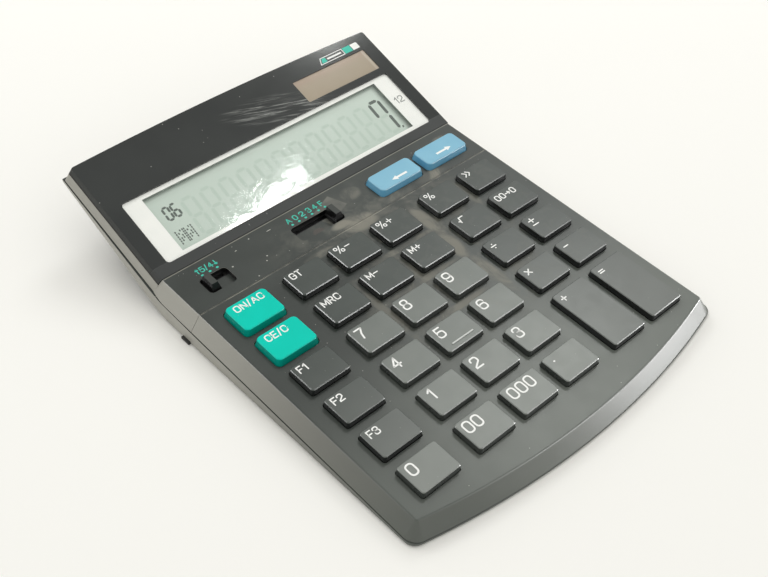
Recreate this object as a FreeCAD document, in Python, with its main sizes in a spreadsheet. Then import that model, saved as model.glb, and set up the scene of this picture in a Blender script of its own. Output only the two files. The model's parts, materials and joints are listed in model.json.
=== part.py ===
import FreeCAD, Part
import math
import os
import Sketcher

# Desktop calculator with a tilted display, a sloping keyboard and two slide switches.
# Lengths are millimetres. X runs to the right, Y to the rear and Z up. The part rests on its feet at Z = 0.

doc = FreeCAD.newDocument("calculator")
sheet = doc.addObject("Spreadsheet::Sheet", "Sizes")

driving = [
    # Case outline
    ("case_depth", 188.13, "front lip to rear edge, on the centre line"),
    ("base_width", 142.0, "width where the case meets the table"),
    ("rim_reach", 3.8, "how far the sides lean out down to the parting line"),
    ("ledge", 0.3, "bottom case beyond the foot of the cover, each side"),
    ("display_extra", 0.5, "display cover beyond the key surface, each side"),
    ("front_thickness", 6.29, "case thickness at the front of the key surface"),
    ("deck_tilt", 2.65, "slope of the key surface, degrees"),
    ("display_tilt", 16.1, "further slope of the display, degrees"),
    ("foot_rise", 0.5, "how far the feet stand out"),
    # Key surface outline. The key line runs across it by the rear edge of the first key row
    ("front_margin", 12.15, "last key row to the front of the key surface, on the centre line"),
    ("front_bow", 281.0, "radius of the bowed front of the key surface"),
    ("base_step", 0.25, "front of the bottom case beyond the lip"),
    ("cover_split", 5.6, "seam behind the keys"),
    ("display_seam", 26.1, "seam in front of the display"),
    ("display_length", 55.15, "display cover along its slope, on the centre line"),
    ("rear_bow", 1440.0, "radius of the bowed rear of the display"),
    ("rim_depth", 5.7, "parting line below the key surface"),
    ("display_rim", 5.0, "parting line below the display surface"),
    ("rear_step", 0.66, "rear of the bottom case beyond the display tray"),
    ("ramp_run", 22.93, "where the underside starts to rise, behind the key line"),
    ("ramp_angle", 22.9, "slope of the underside, degrees"),
    ("ramp_blend", 14.0, "radius where the underside starts to rise"),
    ("deck_corner", 1.0, "front corners of the key surface"),
    ("corner_radius", 4.0, "upright front corners of the bottom case"),
    ("rear_corner", 1.0, "upright rear corners of the case"),
    ("edge_radius", 0.7, "edge round the key surface"),
    ("seam_gap", 0.16, "gap at the seams of the upper case"),
    ("parting_gap", 0.22, "gap between upper case and bottom case"),
    # Walls
    ("deck_plate", 1.3, "thickness of the key surface"),
    ("wall_run", 2.0, "side wall measured level"),
    ("floor_plate", 1.1, "thickness of the bottom case"),
    ("tray_plate", 1.0, "thickness of the display tray"),
    ("cover_plate", 2.1, "thickness of the display cover"),
    ("fit_gap", 0.05, "gap between pieces that seat on each other"),
    # Keys
    ("side_margin", 14.0, "middle of the outer columns from the edges of the key surface"),
    ("group_gap", 3.9, "extra distance between groups of columns"),
    ("number_shift", 0.1, "whole key field to the right"),
    ("row_shift", 0.3, "rear edge of the first key row behind the key line"),
    ("key_space", 4.2, "between the tops of keys in one group, left to right"),
    ("row_space", 4.6, "between the tops of keys, front to back"),
    ("key_flare", 0.15, "how much a plain key widens to the key surface"),
    ("soft_flare", 0.45, "how much a green or blue key widens to the key surface"),
    ("key_rise", 2.4, "key top above the key surface"),
    ("key_travel", 1.3, "stroke of a key"),
    ("key_gap", 0.12, "gap round the foot of a key in its opening"),
    ("key_corner", 0.9, "upright corners of a plain key"),
    ("key_bevel", 0.25, "edge of a plain key's top"),
    ("soft_extra", 0.3, "how much wider the green keys are on each side"),
    ("soft_corner", 1.8, "upright corners of the green and blue keys"),
    ("soft_edge", 0.5, "rounded edge of the green and blue keys"),
    ("blue_extra", 4.5, "how much wider a blue key is than a plain one"),
    ("blue_depth", 9.2, "top of a blue key, front to back"),
    ("blue_margin", 5.35, "right blue key from the edge of the key surface"),
    ("blue_space", 3.6, "between the tops of the blue keys"),
    ("blue_row", 14.9, "blue keys behind the key line"),
    ("flange_reach", 0.7, "retaining flange of a key"),
    ("flange_plate", 0.6, "thickness of that flange"),
    ("cap_wall", 1.1, "wall of the hollow key cap"),
    ("stem_radius", 1.5, "plunger inside a key cap"),
    ("bar_length", 9.4, "raised bar on the 5 key"),
    ("bar_width", 0.5, "width of that bar"),
    ("bar_rise", 0.25, "height of that bar"),
    ("bar_inset", 1.9, "bar from the key's front edge"),
    # Rubber mat and boards
    ("mat_sheet", 0.4, "rubber sheet under the keys"),
    ("dome_base", 3.0, "radius of a rubber dome at its foot"),
    ("dome_top", 1.8, "radius of a rubber dome at its top"),
    ("dome_wall", 0.5, "thickness of a dome"),
    ("squash_room", 0.15, "room under a pressed key's flange"),
    ("case_wall", 1.6, "side wall of the bottom case"),
    ("rear_shave", 0.7, "how much narrower the bottom case is at the rear, each side"),
    ("parting_bend", 30.0, "radius where the parting line starts to rise"),
    ("board_plate", 0.9, "thickness of the main board"),
    ("board_margin", 5.9, "main board inside the sides of the key surface"),
    ("board_inset", 10.3, "front edge of the main board behind the lip"),
    ("board_rear", 23.6, "rear edge of the main board"),
    ("mat_rear", 2.6, "rear edge of the mat behind the keys"),
    ("mat_tab_reach", 3.5, "mat beyond the left blue key"),
    ("mat_tab_rear", 21.0, "rear edge of the mat under the blue keys"),
    # Slide switches
    ("slot_front", 10.4, "front edge of the switch wells"),
    ("slot_length", 7.8, "switch wells, front to back"),
    ("slot_spare", 0.3, "switch wells beyond a knob at each end of its stroke"),
    ("well_depth", 1.9, "depth of the switch wells"),
    ("well_floor", 0.7, "floor of the switch wells"),
    ("tray_set_back", 0.7, "rear sides inside the line of the front sides"),
    ("cover_edge", 0.4, "rounded edge of the display cover"),
    ("solar_corner", 0.6, "corners of the solar cell window"),
    ("peg_radius", 0.8, "pegs that hold the display board"),
    ("peg_inset", 3.6, "left peg inside the end of the display board"),
    ("peg_edge", 0.32, "display board round its pegs"),
    ("peg_step", 4.0, "right peg to the left of the solar cell window"),
    ("post_root", 0.25, "how far the posts of the display tray run into it"),
    ("tongue_plate", 0.8, "tongue of the rear cover under the keyboard cover"),
    ("tongue_reach", 2.2, "how far that tongue reaches"),
    ("post_extra", 0.8, "posts of the bottom case beyond the bosses"),
    ("head_gap", 0.25, "gap round a screw head"),
    ("well_corner", 1.6, "corners of the switch wells"),
    ("knob_width", 4.4, "slide knob, left to right"),
    ("knob_length", 6.8, "slide knob, front to back"),
    ("knob_gap", 0.15, "gap between a knob and its well"),
    ("knob_step", 0.9, "low side of a knob below the surface"),
    ("knob_rise", 2.0, "ridge of a knob above the surface"),
    ("ridge_width", 2.3, "top of that ridge, left to right"),
    ("ridge_lean", 0.8, "how far each side of the ridge leans in"),
    ("ridge_slope", 1.3, "how far the front of the ridge leans back"),
    ("ridge_inset", 0.2, "ends of the ridge inside the knob"),
    ("neck_width", 1.6, "neck of a knob in its slit"),
    ("neck_length", 1.1, "neck of a knob, front to back"),
    ("neck_shift", 2.6, "neck of a knob behind its middle"),
    ("slider_width", 4.0, "foot of a knob that carries its contact"),
    ("shield_lap", 0.6, "slider plate beyond the ends of its slit"),
    ("slider_length", 5.0, "slider plate, front to back"),
    ("slider_plate", 0.6, "thickness of the slider plate"),
    ("wiper_plate", 0.25, "metal contact under a slider"),
    ("wiper_inset", 0.75, "feet of that contact inside the ends of the slider"),
    ("rounding_inset", 11.05, "rounding knob at rest, from the edge of the key surface"),
    ("rounding_step", 3.0, "distance between rounding positions"),
    ("decimal_x", -1.8, "decimal knob at rest"),
    ("decimal_step", 3.0, "distance between decimal positions"),
    # Display
    ("window_margin", 5.7, "clear window inside the sides of the display cover"),
    ("window_front", 4.3, "front edge of the clear window"),
    ("window_length", 27.8, "clear window along the slope"),
    ("window_plate", 0.6, "thickness of the clear window"),
    ("window_corner", 1.4, "corners of the clear window"),
    ("frame_side", 7.5, "white frame at each side of its opening"),
    ("frame_front", 1.9, "white frame before its opening"),
    ("frame_rear", 1.7, "white frame behind its opening"),
    ("bezel_lip", 1.25, "white frame over the glass"),
    ("bezel_plate", 0.6, "flange of the white frame under the display cover"),
    ("bezel_extra", 0.35, "that flange beyond the clear window"),
    ("glass_lap", 3.5, "liquid crystal glass beyond that opening, each side"),
    ("glass_wall", 0.95, "white frame before and behind the glass"),
    ("glass_drop", 0.1, "glass below the lip of the white frame"),
    ("glass_plate", 1.3, "thickness of the glass"),
    ("contact_strip", 0.4, "height of the rubber contact strip"),
    ("contact_width", 2.6, "width of the rubber contact strip"),
    ("contact_set", 0.65, "that strip behind the front of the glass"),
    ("small_board", 0.6, "thickness of the display board"),
    ("small_board_lap", 2.1, "rear edge of the display board behind the clear window"),
    ("solar_width", 36.4, "solar cell window, left to right"),
    ("solar_inset", 0.2, "that window inside the right edge of the clear window"),
    ("solar_step", 3.0, "between the clear window and that window"),
    ("solar_length", 10.9, "that window along the slope"),
    ("solar_margin", 0.6, "solar cell beyond its window"),
    ("solar_plate", 1.0, "thickness of the solar cell"),
    ("solar_sink", 0.3, "face of the solar cell below the display cover"),
    ("solar_leg", 0.8, "contact leg of the solar cell"),
    ("leg_inset", 1.6, "first contact leg from the left end of the solar cell"),
    ("leg_pitch", 2.4, "between its two contact legs"),
    # Screws and bosses
    ("screw_radius", 0.9, "shank of every screw"),
    ("head_radius", 1.7, "head of every screw"),
    ("head_plate", 0.8, "height of a screw head"),
    ("thread_gap", 0.04, "gap round a screw shank"),
    ("boss_radius", 2.0, "screw boss"),
    ("head_sink", 1.1, "counterbore under the case"),
    ("boss_clear", 0.4, "gap round a boss in the mat"),
    ("front_screw_inset", 16.9, "front case screws inside the sides of the key surface"),
    ("front_screw_set", 7.0, "front case screws behind the lip"),
    ("side_screw_inset", 3.0, "side case screws inside the sides of the key surface"),
    ("side_screw_y", 3.4, "side case screws behind the key line"),
    ("rear_screw_inset", 3.4, "rear case screws inside the sides of the display cover"),
    ("rear_screw_v", 47.9, "rear case screws along the display"),
    ("tip_gap", 0.2, "tips of the rear case screws under the display cover"),
    # Battery
    ("cell_radius", 5.8, "button cell"),
    ("cell_plate", 3.1, "thickness of the button cell"),
    ("cell_x", 33.0, "button cell to the right"),
    ("cell_run", 6.93, "button cell behind the key line"),
    ("cell_gap", 0.3, "gap round the button cell"),
    ("cell_wall", 1.0, "walls round the battery space"),
    ("door_width", 16.0, "battery door, left to right"),
    ("door_length", 20.0, "battery door, front to back"),
    ("door_shift", 2.1, "middle of the battery door behind the button cell"),
    ("door_screw_run", 9.9, "battery door screw behind the button cell"),
    ("door_plate", 1.0, "thickness of the battery door"),
    ("door_gap", 0.15, "gap round the battery door"),
    ("contact_plate", 0.3, "battery contacts"),
    ("leaf_slot", 2.4, "opening over the button cell for its spring leaf"),
    ("strip_width", 2.4, "side contact of the button cell, front to back"),
    ("strip_slot", 3.2, "opening for that contact, front to back"),
    # Feet
    ("foot_radius", 4.5, "front feet"),
    ("foot_inset", 16.0, "front feet inside the sides"),
    ("foot_set", 15.0, "front feet behind the front"),
    ("foot_plate", 1.0, "thickness of the feet"),
    ("rear_foot_run", 8.73, "rear feet behind the key line"),
    ("rear_foot_length", 24.0, "rear feet, left to right"),
    ("rear_foot_width", 4.0, "rear feet, front to back"),
    ("rear_foot_proud", 0.8, "rear feet beyond the case side"),
    ("label_width", 52.0, "shallow label recess, left to right"),
    ("label_length", 26.0, "shallow label recess, front to back"),
    ("label_depth", 0.2, "depth of that recess"),
    ("blob_radius", 5.0, "sealed chip under the main board"),
    ("blob_set", 15.0, "middle of that chip before the rear edge of the board"),
    ("blob_crown", 3.0, "radius of its flat crown"),
    ("blob_rise", 0.9, "height of that chip"),
    ("ribbon_width", 22.0, "flat ribbon between the boards"),
    ("ribbon_plate", 0.25, "thickness of that ribbon"),
    ("ribbon_inset", 31.0, "middle of the ribbon inside the left end of the main board"),
    ("ribbon_lap", 3.0, "ribbon soldered under each board"),
]


class Size:
    # A number together with the sheet expression that gives it

    def __init__(self, value, text):
        self.value = value
        self.text = text

    def join(self, other, sign, value):
        return Size(value, "(%s %s %s)" % (self.text, sign, words(other)))

    def __add__(self, other):
        return self.join(other, "+", self.value + number(other))

    def __sub__(self, other):
        return self.join(other, "-", self.value - number(other))

    def __mul__(self, other):
        return self.join(other, "*", self.value * number(other))

    def __truediv__(self, other):
        return self.join(other, "/", self.value / number(other))

    def __neg__(self):
        return Size(-self.value, "(0 - %s)" % self.text)

    def __radd__(self, other):
        return self + other

    def __rmul__(self, other):
        return self * other

    def __rsub__(self, other):
        return -self + other


def number(item):
    return item.value if isinstance(item, Size) else float(item)


def words(item):
    return item.text if isinstance(item, Size) else "%.10g" % item


def turned(function, name, angle):
    # Sine, cosine or tangent of an angle in degrees
    return Size(function(math.radians(angle.value)), "%s(%s * 1deg)" % (name, angle.text))


def inward(run, rise):
    # Angle in degrees of a side that leans in by a run over a rise, negative as a pad's taper counts it
    slope = run / rise
    return Size(-math.degrees(math.atan(slope.value)), "atan(0 - %s)" % slope.text)


sizes = {}
for row, (alias, amount, meaning) in enumerate(driving, start=1):
    sheet.set("A%d" % row, meaning)
    sheet.set("B%d" % row, str(amount))
    sheet.setAlias("B%d" % row, alias)
doc.recompute()
for alias, amount, meaning in driving:
    sizes[alias] = Size(float(sheet.get(alias)), "Sizes." + alias)


def size(alias):
    return sizes[alias]


def derive(alias, amount):
    # A size that follows from others
    sizes[alias] = amount


# Sizes that follow from the width of the case and from the clear window
zero = Size(0.0, "0")
same = 0.001
key_rows = 6
near_steps = 5
group_gaps = 2
derive("deck_width", size("base_width") - (size("rim_reach") + size("ledge")) * 2)
derive("display_width", size("deck_width") + size("display_extra") * 2)
key_span = size("deck_width") - size("side_margin") * 2
derive("near_pitch", (key_span - size("group_gap") * group_gaps) / near_steps)
derive("key_width", size("near_pitch") - size("key_space"))
derive("blue_width", size("key_width") + size("blue_extra"))
derive("blue_pitch", size("blue_width") + size("blue_space"))
blue_right = size("deck_width") / 2 - size("blue_margin") - size("blue_width") / 2
derive("blue_left", blue_right - size("blue_pitch"))
derive("board_width", size("deck_width") - size("board_margin") * 2)
derive("window_width", size("display_width") - size("window_margin") * 2)
derive("view_width", size("window_width") - size("frame_side") * 2)
derive("glass_width", size("view_width") + size("glass_lap") * 2)
derive("view_front", size("window_front") + size("frame_front"))
derive("view_length", size("window_length") - size("frame_front") - size("frame_rear"))
derive("glass_length", size("window_length") - size("glass_wall") * 2)
derive("small_board_rear", size("window_front") + size("window_length") + size("small_board_lap"))
derive("solar_front", size("window_front") + size("window_length") + size("solar_step"))
derive("solar_right", size("window_width") / 2 - size("solar_inset"))
derive("rounding_x", size("rounding_inset") - size("deck_width") / 2)
derive("ribbon_x", size("board_width") / 2 - size("ribbon_inset"))

# Frames: the key surface, the display surface and the depths that follow from the depth of the case
sin_deck = turned(math.sin, "sin", size("deck_tilt"))
cos_deck = turned(math.cos, "cos", size("deck_tilt"))
sin_face = turned(math.sin, "sin", size("display_tilt"))
cos_face = turned(math.cos, "cos", size("display_tilt"))
tan_ramp = turned(math.tan, "tan", size("ramp_angle"))
half_case = size("case_depth") / 2
full_tilt = size("deck_tilt") + size("display_tilt")
sin_turn = turned(math.sin, "sin", full_tilt)
cos_turn = turned(math.cos, "cos", full_tilt)
display_run = (size("display_seam") * cos_deck + size("display_length") * cos_turn
               + size("display_rim") * sin_turn)
level_run = size("case_depth") - size("base_step") - size("rear_step") - display_run
lip_apex = (level_run + size("rim_depth") * sin_deck) / cos_deck
derive("front_apex", lip_apex - size("rim_reach"))
row_span = size("front_apex") - size("front_margin") + size("row_shift")
derive("row_pitch", (row_span + size("row_space")) / key_rows)
derive("key_depth", size("row_pitch") - size("row_space"))
derive("board_front", size("front_apex") - size("board_inset"))
derive("deck_thickness", size("front_thickness") + size("front_apex") * sin_deck / cos_deck)
deck_y = size("base_step") - half_case + lip_apex * cos_deck - size("rim_depth") * sin_deck
deck_z = size("deck_thickness") * cos_deck + size("foot_rise")
across = FreeCAD.Vector(1, 0, 0)
deck_frame = FreeCAD.Placement(
    FreeCAD.Vector(0, deck_y.value, deck_z.value),
    FreeCAD.Rotation(across, size("deck_tilt").value),
)
display_in_deck = FreeCAD.Placement(
    FreeCAD.Vector(0, size("display_seam").value, 0),
    FreeCAD.Rotation(across, size("display_tilt").value),
)
display_frame = deck_frame.multiply(display_in_deck)

# Places on the underside
derive("ramp_start", deck_y + size("ramp_run"))
derive("cell_y", deck_y + size("cell_run"))
derive("door_y", size("cell_y") + size("door_shift"))
derive("door_screw", size("cell_y") + size("door_screw_run"))
derive("rear_foot_y", deck_y + size("rear_foot_run"))
derive("foot_x", size("base_width") / 2 - size("foot_inset"))
derive("foot_y", half_case - size("foot_set"))

sub_parts = []


def keep(item, label, frame=None):
    item.Label = label
    if frame is not None:
        item.Placement = frame
    sub_parts.append(item)
    return item


def bind(item, values):
    for path, amount in values.items():
        if isinstance(amount, Size):
            item.setExpression(path, amount.text)
        else:
            item.setExpression(path, "%.10g" % amount)


def block(name, x_range, y_range, z_range):
    # Box from its limits along each axis
    item = doc.addObject("Part::Box", name)
    bind(item, {
        "Length": x_range[1] - x_range[0],
        "Width": y_range[1] - y_range[0],
        "Height": z_range[1] - z_range[0],
        "Placement.Base.x": x_range[0],
        "Placement.Base.y": y_range[0],
        "Placement.Base.z": z_range[0],
    })
    return item


def centred(centre, width):
    return (centre - width / 2, centre + width / 2)


def tapered(name, low_x, low_y, low_z, high_x, high_y, high_z):
    # Block whose sides lean: two rectangles at two heights
    item = doc.addObject("Part::Wedge", name)
    item.Placement = FreeCAD.Placement(FreeCAD.Vector(), FreeCAD.Rotation(across, 90))
    bind(item, {
        "Xmin": low_x[0],
        "Xmax": low_x[1],
        "Zmin": -low_y[1],
        "Zmax": -low_y[0],
        "Ymin": low_z,
        "X2min": high_x[0],
        "X2max": high_x[1],
        "Z2min": -high_y[1],
        "Z2max": -high_y[0],
        "Ymax": high_z,
    })
    return item


def rod(name, radius, x, y, z_range):
    item = doc.addObject("Part::Cylinder", name)
    bind(item, {
        "Radius": radius,
        "Height": z_range[1] - z_range[0],
        "Placement.Base.x": x,
        "Placement.Base.y": y,
        "Placement.Base.z": z_range[0],
    })
    return item


def joined(name, items):
    item = doc.addObject("Part::MultiFuse", name)
    item.Shapes = items
    return item


def cut(name, base, tool):
    item = doc.addObject("Part::Cut", name)
    item.Base = base
    item.Tool = tool
    return item


def shared(name, first, second):
    item = doc.addObject("Part::Common", name)
    item.Base = first
    item.Tool = second
    return item


def group(name, items):
    item = doc.addObject("Part::Compound", name)
    item.Links = items
    return item


def placed(name, items, place):
    item = group(name, items)
    item.Placement = place
    return item


def upright(edge):
    # Edge that runs from one level to another without being level itself
    box = edge.BoundBox
    return box.ZLength > max(box.XLength, box.YLength)


def edge_numbers(shape, test):
    return [index for index, edge in enumerate(shape.Edges, start=1) if test(edge)]


def rounded(name, base, radius, test):
    doc.recompute()
    item = doc.addObject("Part::Fillet", name)
    item.Base = base
    item.Edges = [(index, radius.value, radius.value) for index in edge_numbers(base.Shape, test)]
    return item


def rounded_block(name, x_range, y_range, z_range, radius):
    return rounded(name + "_round", block(name, x_range, y_range, z_range), radius, upright)


def body(name):
    return doc.addObject("PartDesign::Body", name)


def plane(owner, role):
    for item in owner.Origin.OriginFeatures:
        if item.Role == role:
            return item


def sketch(owner, name, role, lift=None):
    item = owner.newObject("Sketcher::SketchObject", name)
    item.AttachmentSupport = [(plane(owner, role), "")]
    item.MapMode = "FlatFace"
    if lift is not None:
        bind(item, {"AttachmentOffset.Base.z": lift})
    return item


def hold(item, kind, geometry, point, amount):
    # Distance of a sketch point from the origin along one axis
    index = item.addConstraint(
        Sketcher.Constraint(kind, -1, 1, geometry, point, number(amount)))
    bind(item, {"Constraints[%d]" % index: amount})


def closed_polygon(item, points):
    # Closed outline through points, each held by its two distances
    count = len(points)
    for index in range(count):
        start = points[index]
        end = points[(index + 1) % count]
        item.addGeometry(Part.LineSegment(
            FreeCAD.Vector(number(start[0]), number(start[1]), 0),
            FreeCAD.Vector(number(end[0]), number(end[1]), 0)))
    for index in range(count):
        item.addConstraint(Sketcher.Constraint("Coincident", index, 2, (index + 1) % count, 1))
    for index, point in enumerate(points):
        hold(item, "DistanceX", index, 1, point[0])
        hold(item, "DistanceY", index, 1, point[1])


def bowed_outline(item, half_width, rear, apex, bow, corner):
    # Plan outline with straight sides and rear, rounded front corners and one arc across the front
    wide = number(half_width)
    back = number(rear)
    radius = number(bow)
    small = number(corner)
    centre_y = number(apex) + radius
    corner_x = wide - small
    corner_y = centre_y - math.sqrt((radius - small) ** 2 - corner_x ** 2)
    reach = radius / (radius - small)
    touch = FreeCAD.Vector(corner_x * reach, centre_y + (corner_y - centre_y) * reach, 0)
    left_touch = FreeCAD.Vector(-touch.x, touch.y, 0)
    turn = math.sqrt(0.5) * small
    item.addGeometry(Part.LineSegment(FreeCAD.Vector(-wide, back, 0), FreeCAD.Vector(-wide, corner_y, 0)))
    item.addGeometry(Part.Arc(
        FreeCAD.Vector(-wide, corner_y, 0),
        FreeCAD.Vector(-corner_x - turn, corner_y - turn, 0),
        left_touch))
    item.addGeometry(Part.Arc(left_touch, FreeCAD.Vector(0, number(apex), 0), touch))
    item.addGeometry(Part.Arc(
        touch,
        FreeCAD.Vector(corner_x + turn, corner_y - turn, 0),
        FreeCAD.Vector(wide, corner_y, 0)))
    item.addGeometry(Part.LineSegment(FreeCAD.Vector(wide, corner_y, 0), FreeCAD.Vector(wide, back, 0)))
    item.addGeometry(Part.LineSegment(FreeCAD.Vector(wide, back, 0), FreeCAD.Vector(-wide, back, 0)))
    item.addConstraint([
        Sketcher.Constraint("Tangent", 0, 2, 1, 1),
        Sketcher.Constraint("Tangent", 1, 2, 2, 1),
        Sketcher.Constraint("Tangent", 2, 2, 3, 1),
        Sketcher.Constraint("Tangent", 3, 2, 4, 1),
        Sketcher.Constraint("Coincident", 4, 2, 5, 1),
        Sketcher.Constraint("Coincident", 5, 2, 0, 1),
        Sketcher.Constraint("Vertical", 0),
        Sketcher.Constraint("Vertical", 4),
        Sketcher.Constraint("Horizontal", 5),
        Sketcher.Constraint("PointOnObject", 2, 3, -2),
        Sketcher.Constraint("Equal", 1, 3),
    ])
    hold(item, "DistanceX", 0, 1, -half_width)
    hold(item, "DistanceX", 4, 2, half_width)
    hold(item, "DistanceY", 0, 1, rear)
    hold(item, "DistanceY", 2, 3, apex + bow)
    for arc, amount in ((1, corner), (2, bow)):
        index = item.addConstraint(Sketcher.Constraint("Radius", arc, number(amount)))
        bind(item, {"Constraints[%d]" % index: amount})


def bowed_pad(name, outline, low, high, lean=None):
    # Body raised from such an outline, with sides that lean by an angle in degrees
    owner = body(name)
    base = sketch(owner, name + "_plan", "XY_Plane", low)
    bowed_outline(base, *outline)
    pad = owner.newObject("PartDesign::Pad", name + "_pad")
    pad.Profile = base
    bind(pad, {"Length": high - low})
    if lean is not None:
        bind(pad, {"TaperAngle": lean})
    doc.recompute()
    return owner


def soften(owner, radius, test):
    # Fillet feature on the edges of the body's tip that pass the test
    doc.recompute()
    tip = owner.Tip
    item = owner.newObject("PartDesign::Fillet", tip.Name + "_soft")
    item.Base = (tip, ["Edge%d" % index for index in edge_numbers(tip.Shape, test)])
    bind(item, {"Radius": radius})
    doc.recompute()


def bevelled(owner, width, test):
    # Chamfer feature on the edges of the body's tip that pass the test
    doc.recompute()
    tip = owner.Tip
    item = owner.newObject("PartDesign::Chamfer", tip.Name + "_bevel")
    item.Base = (tip, ["Edge%d" % index for index in edge_numbers(tip.Shape, test)])
    bind(item, {"Size": width})
    doc.recompute()


def rectangle(half_x, half_y):
    return [(-half_x, -half_y), (half_x, -half_y), (half_x, half_y), (-half_x, half_y)]


def top_edge(level):
    def test(edge):
        box = edge.BoundBox
        return abs(box.ZMin - level) < same and abs(box.ZMax - level) < same
    return test


# Key field: columns and rows on the key surface
first_column = size("number_shift") + size("side_margin") - size("deck_width") / 2
gaps_before = (0, 1, 1, 1, 2, 2)
columns = [first_column + size("near_pitch") * step + size("group_gap") * gaps
           for step, gaps in enumerate(gaps_before)]
top_row = size("row_shift") - size("key_depth") / 2
tall_depth = size("key_depth") + size("row_pitch")

key_names = [
    ["on_ac", "grand_total", "rate_minus", "rate_plus", "percent", "replay"],
    ["clear_entry", "memory_recall", "memory_minus", "memory_plus", "root", "correct"],
    ["margin", "number_7", "number_8", "number_9", "divide", "change_sign"],
    ["sell", "number_4", "number_5", "number_6", "multiply", "subtract"],
    ["cost", "number_1", "number_2", "number_3", "add", "equals"],
    ["number_0", "double_zero", "triple_zero", "decimal_point"],
]
tall_keys = ("add", "equals")
green_keys = ("on_ac", "clear_entry")
keys = []
for row, names in enumerate(key_names):
    for column, name in enumerate(names):
        y = top_row - size("row_pitch") * row
        width = size("key_width")
        depth = size("key_depth")
        if name in tall_keys:
            y = y - size("row_pitch") / 2
            depth = tall_depth
        if name in green_keys:
            width = width + size("soft_extra") * 2
            depth = depth + size("soft_extra") * 2
        keys.append((name, columns[column], y, width, depth, name in green_keys))
blue_keys = [
    ("check_back", size("blue_left"), size("blue_row"), size("blue_width"), size("blue_depth"), True),
    ("check_forward", size("blue_left") + size("blue_pitch"), size("blue_row"), size("blue_width"),
     size("blue_depth"), True),
]

# Levels below the key surface
plate_under = -size("deck_plate")
flange_top = plate_under - size("fit_gap")
flange_under = flange_top - size("flange_plate")
mat_top = flange_under - size("key_travel") - size("squash_room")
board_top = mat_top - size("mat_sheet")
board_under = board_top - size("board_plate")
dome_crown = flange_under - size("fit_gap")


def cap_flare(soft):
    return size("soft_flare") if soft else size("key_flare")


def cap_corner(soft):
    return size("soft_corner") if soft else size("key_corner")


def cap_lean(soft):
    # How far the foot of a cap, at its flange, stands outside its top
    return cap_flare(soft) * (size("key_rise") - flange_top) / size("key_rise")


def key_cap(name, width, depth, soft, barred):
    # Tapered cap with a retaining flange, hollow below round a plunger
    owner = body(name)
    foot_x = width / 2 + cap_lean(soft)
    foot_y = depth / 2 + cap_lean(soft)
    reach = size("flange_reach")
    wall = size("cap_wall")
    inside = size("key_rise") - wall - flange_under
    low = sketch(owner, name + "_foot", "XY_Plane", flange_top)
    closed_polygon(low, rectangle(foot_x, foot_y))
    cap = owner.newObject("PartDesign::Pad", name + "_pad")
    cap.Profile = low
    bind(cap, {
        "Length": size("key_rise") - flange_top,
        "TaperAngle": inward(cap_flare(soft), size("key_rise")),
    })
    soften(owner, cap_corner(soft), upright)
    top = top_edge(size("key_rise").value)
    if soft:
        soften(owner, size("soft_edge"), top)
    else:
        bevelled(owner, size("key_bevel"), top)
    rim = sketch(owner, name + "_rim", "XY_Plane", flange_under)
    closed_polygon(rim, rectangle(foot_x + reach, foot_y + reach))
    flange = owner.newObject("PartDesign::Pad", name + "_flange")
    flange.Profile = rim
    bind(flange, {"Length": size("flange_plate")})
    hollow = sketch(owner, name + "_cavity", "XY_Plane", flange_under)
    closed_polygon(hollow, rectangle(width / 2 - wall, depth / 2 - wall))
    cavity = owner.newObject("PartDesign::Pocket", name + "_hollow")
    cavity.Profile = hollow
    cavity.Reversed = True
    bind(cavity, {"Length": inside})
    peg = sketch(owner, name + "_peg", "XY_Plane", flange_under)
    peg.addGeometry(Part.Circle(FreeCAD.Vector(), FreeCAD.Vector(0, 0, 1), size("stem_radius").value))
    peg.addConstraint(Sketcher.Constraint("Coincident", 0, 3, -1, 1))
    index = peg.addConstraint(Sketcher.Constraint("Radius", 0, size("stem_radius").value))
    bind(peg, {"Constraints[%d]" % index: size("stem_radius")})
    plunger = owner.newObject("PartDesign::Pad", name + "_plunger")
    plunger.Profile = peg
    bind(plunger, {"Length": inside})
    if barred:
        mark = sketch(owner, name + "_mark", "XY_Plane", size("key_rise"))
        low_y = size("bar_inset") - depth / 2
        high_y = low_y + size("bar_width")
        half = size("bar_length") / 2
        closed_polygon(mark, [(-half, low_y), (half, low_y), (half, high_y), (-half, high_y)])
        bar = owner.newObject("PartDesign::Pad", name + "_bar")
        bar.Profile = mark
        bind(bar, {"Length": size("bar_rise")})
    return owner


def all_keys():
    # One moulding for each kind of key, set at each place that it has
    mouldings = {}
    for name, x, y, width, depth, soft in keys + blue_keys:
        barred = name == "number_5"
        kind = (width.text, depth.text, barred)
        if kind not in mouldings:
            mouldings[kind] = key_cap("cap_" + name, width, depth, soft, barred)
        place = FreeCAD.Placement(FreeCAD.Vector(x.value, y.value, 0), FreeCAD.Rotation())
        keep(placed("key_" + name, [mouldings[kind]], deck_frame.multiply(place)), "key_" + name)


def key_opening(name, x, y, width, depth, soft):
    grow = (cap_lean(soft) + size("key_gap")) * 2
    x_range = centred(x, width + grow)
    y_range = centred(y, depth + grow)
    z_range = (plate_under - 1, size("key_rise"))
    return rounded_block(name + "_hole", x_range, y_range, z_range, cap_corner(soft) + size("key_gap"))


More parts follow.
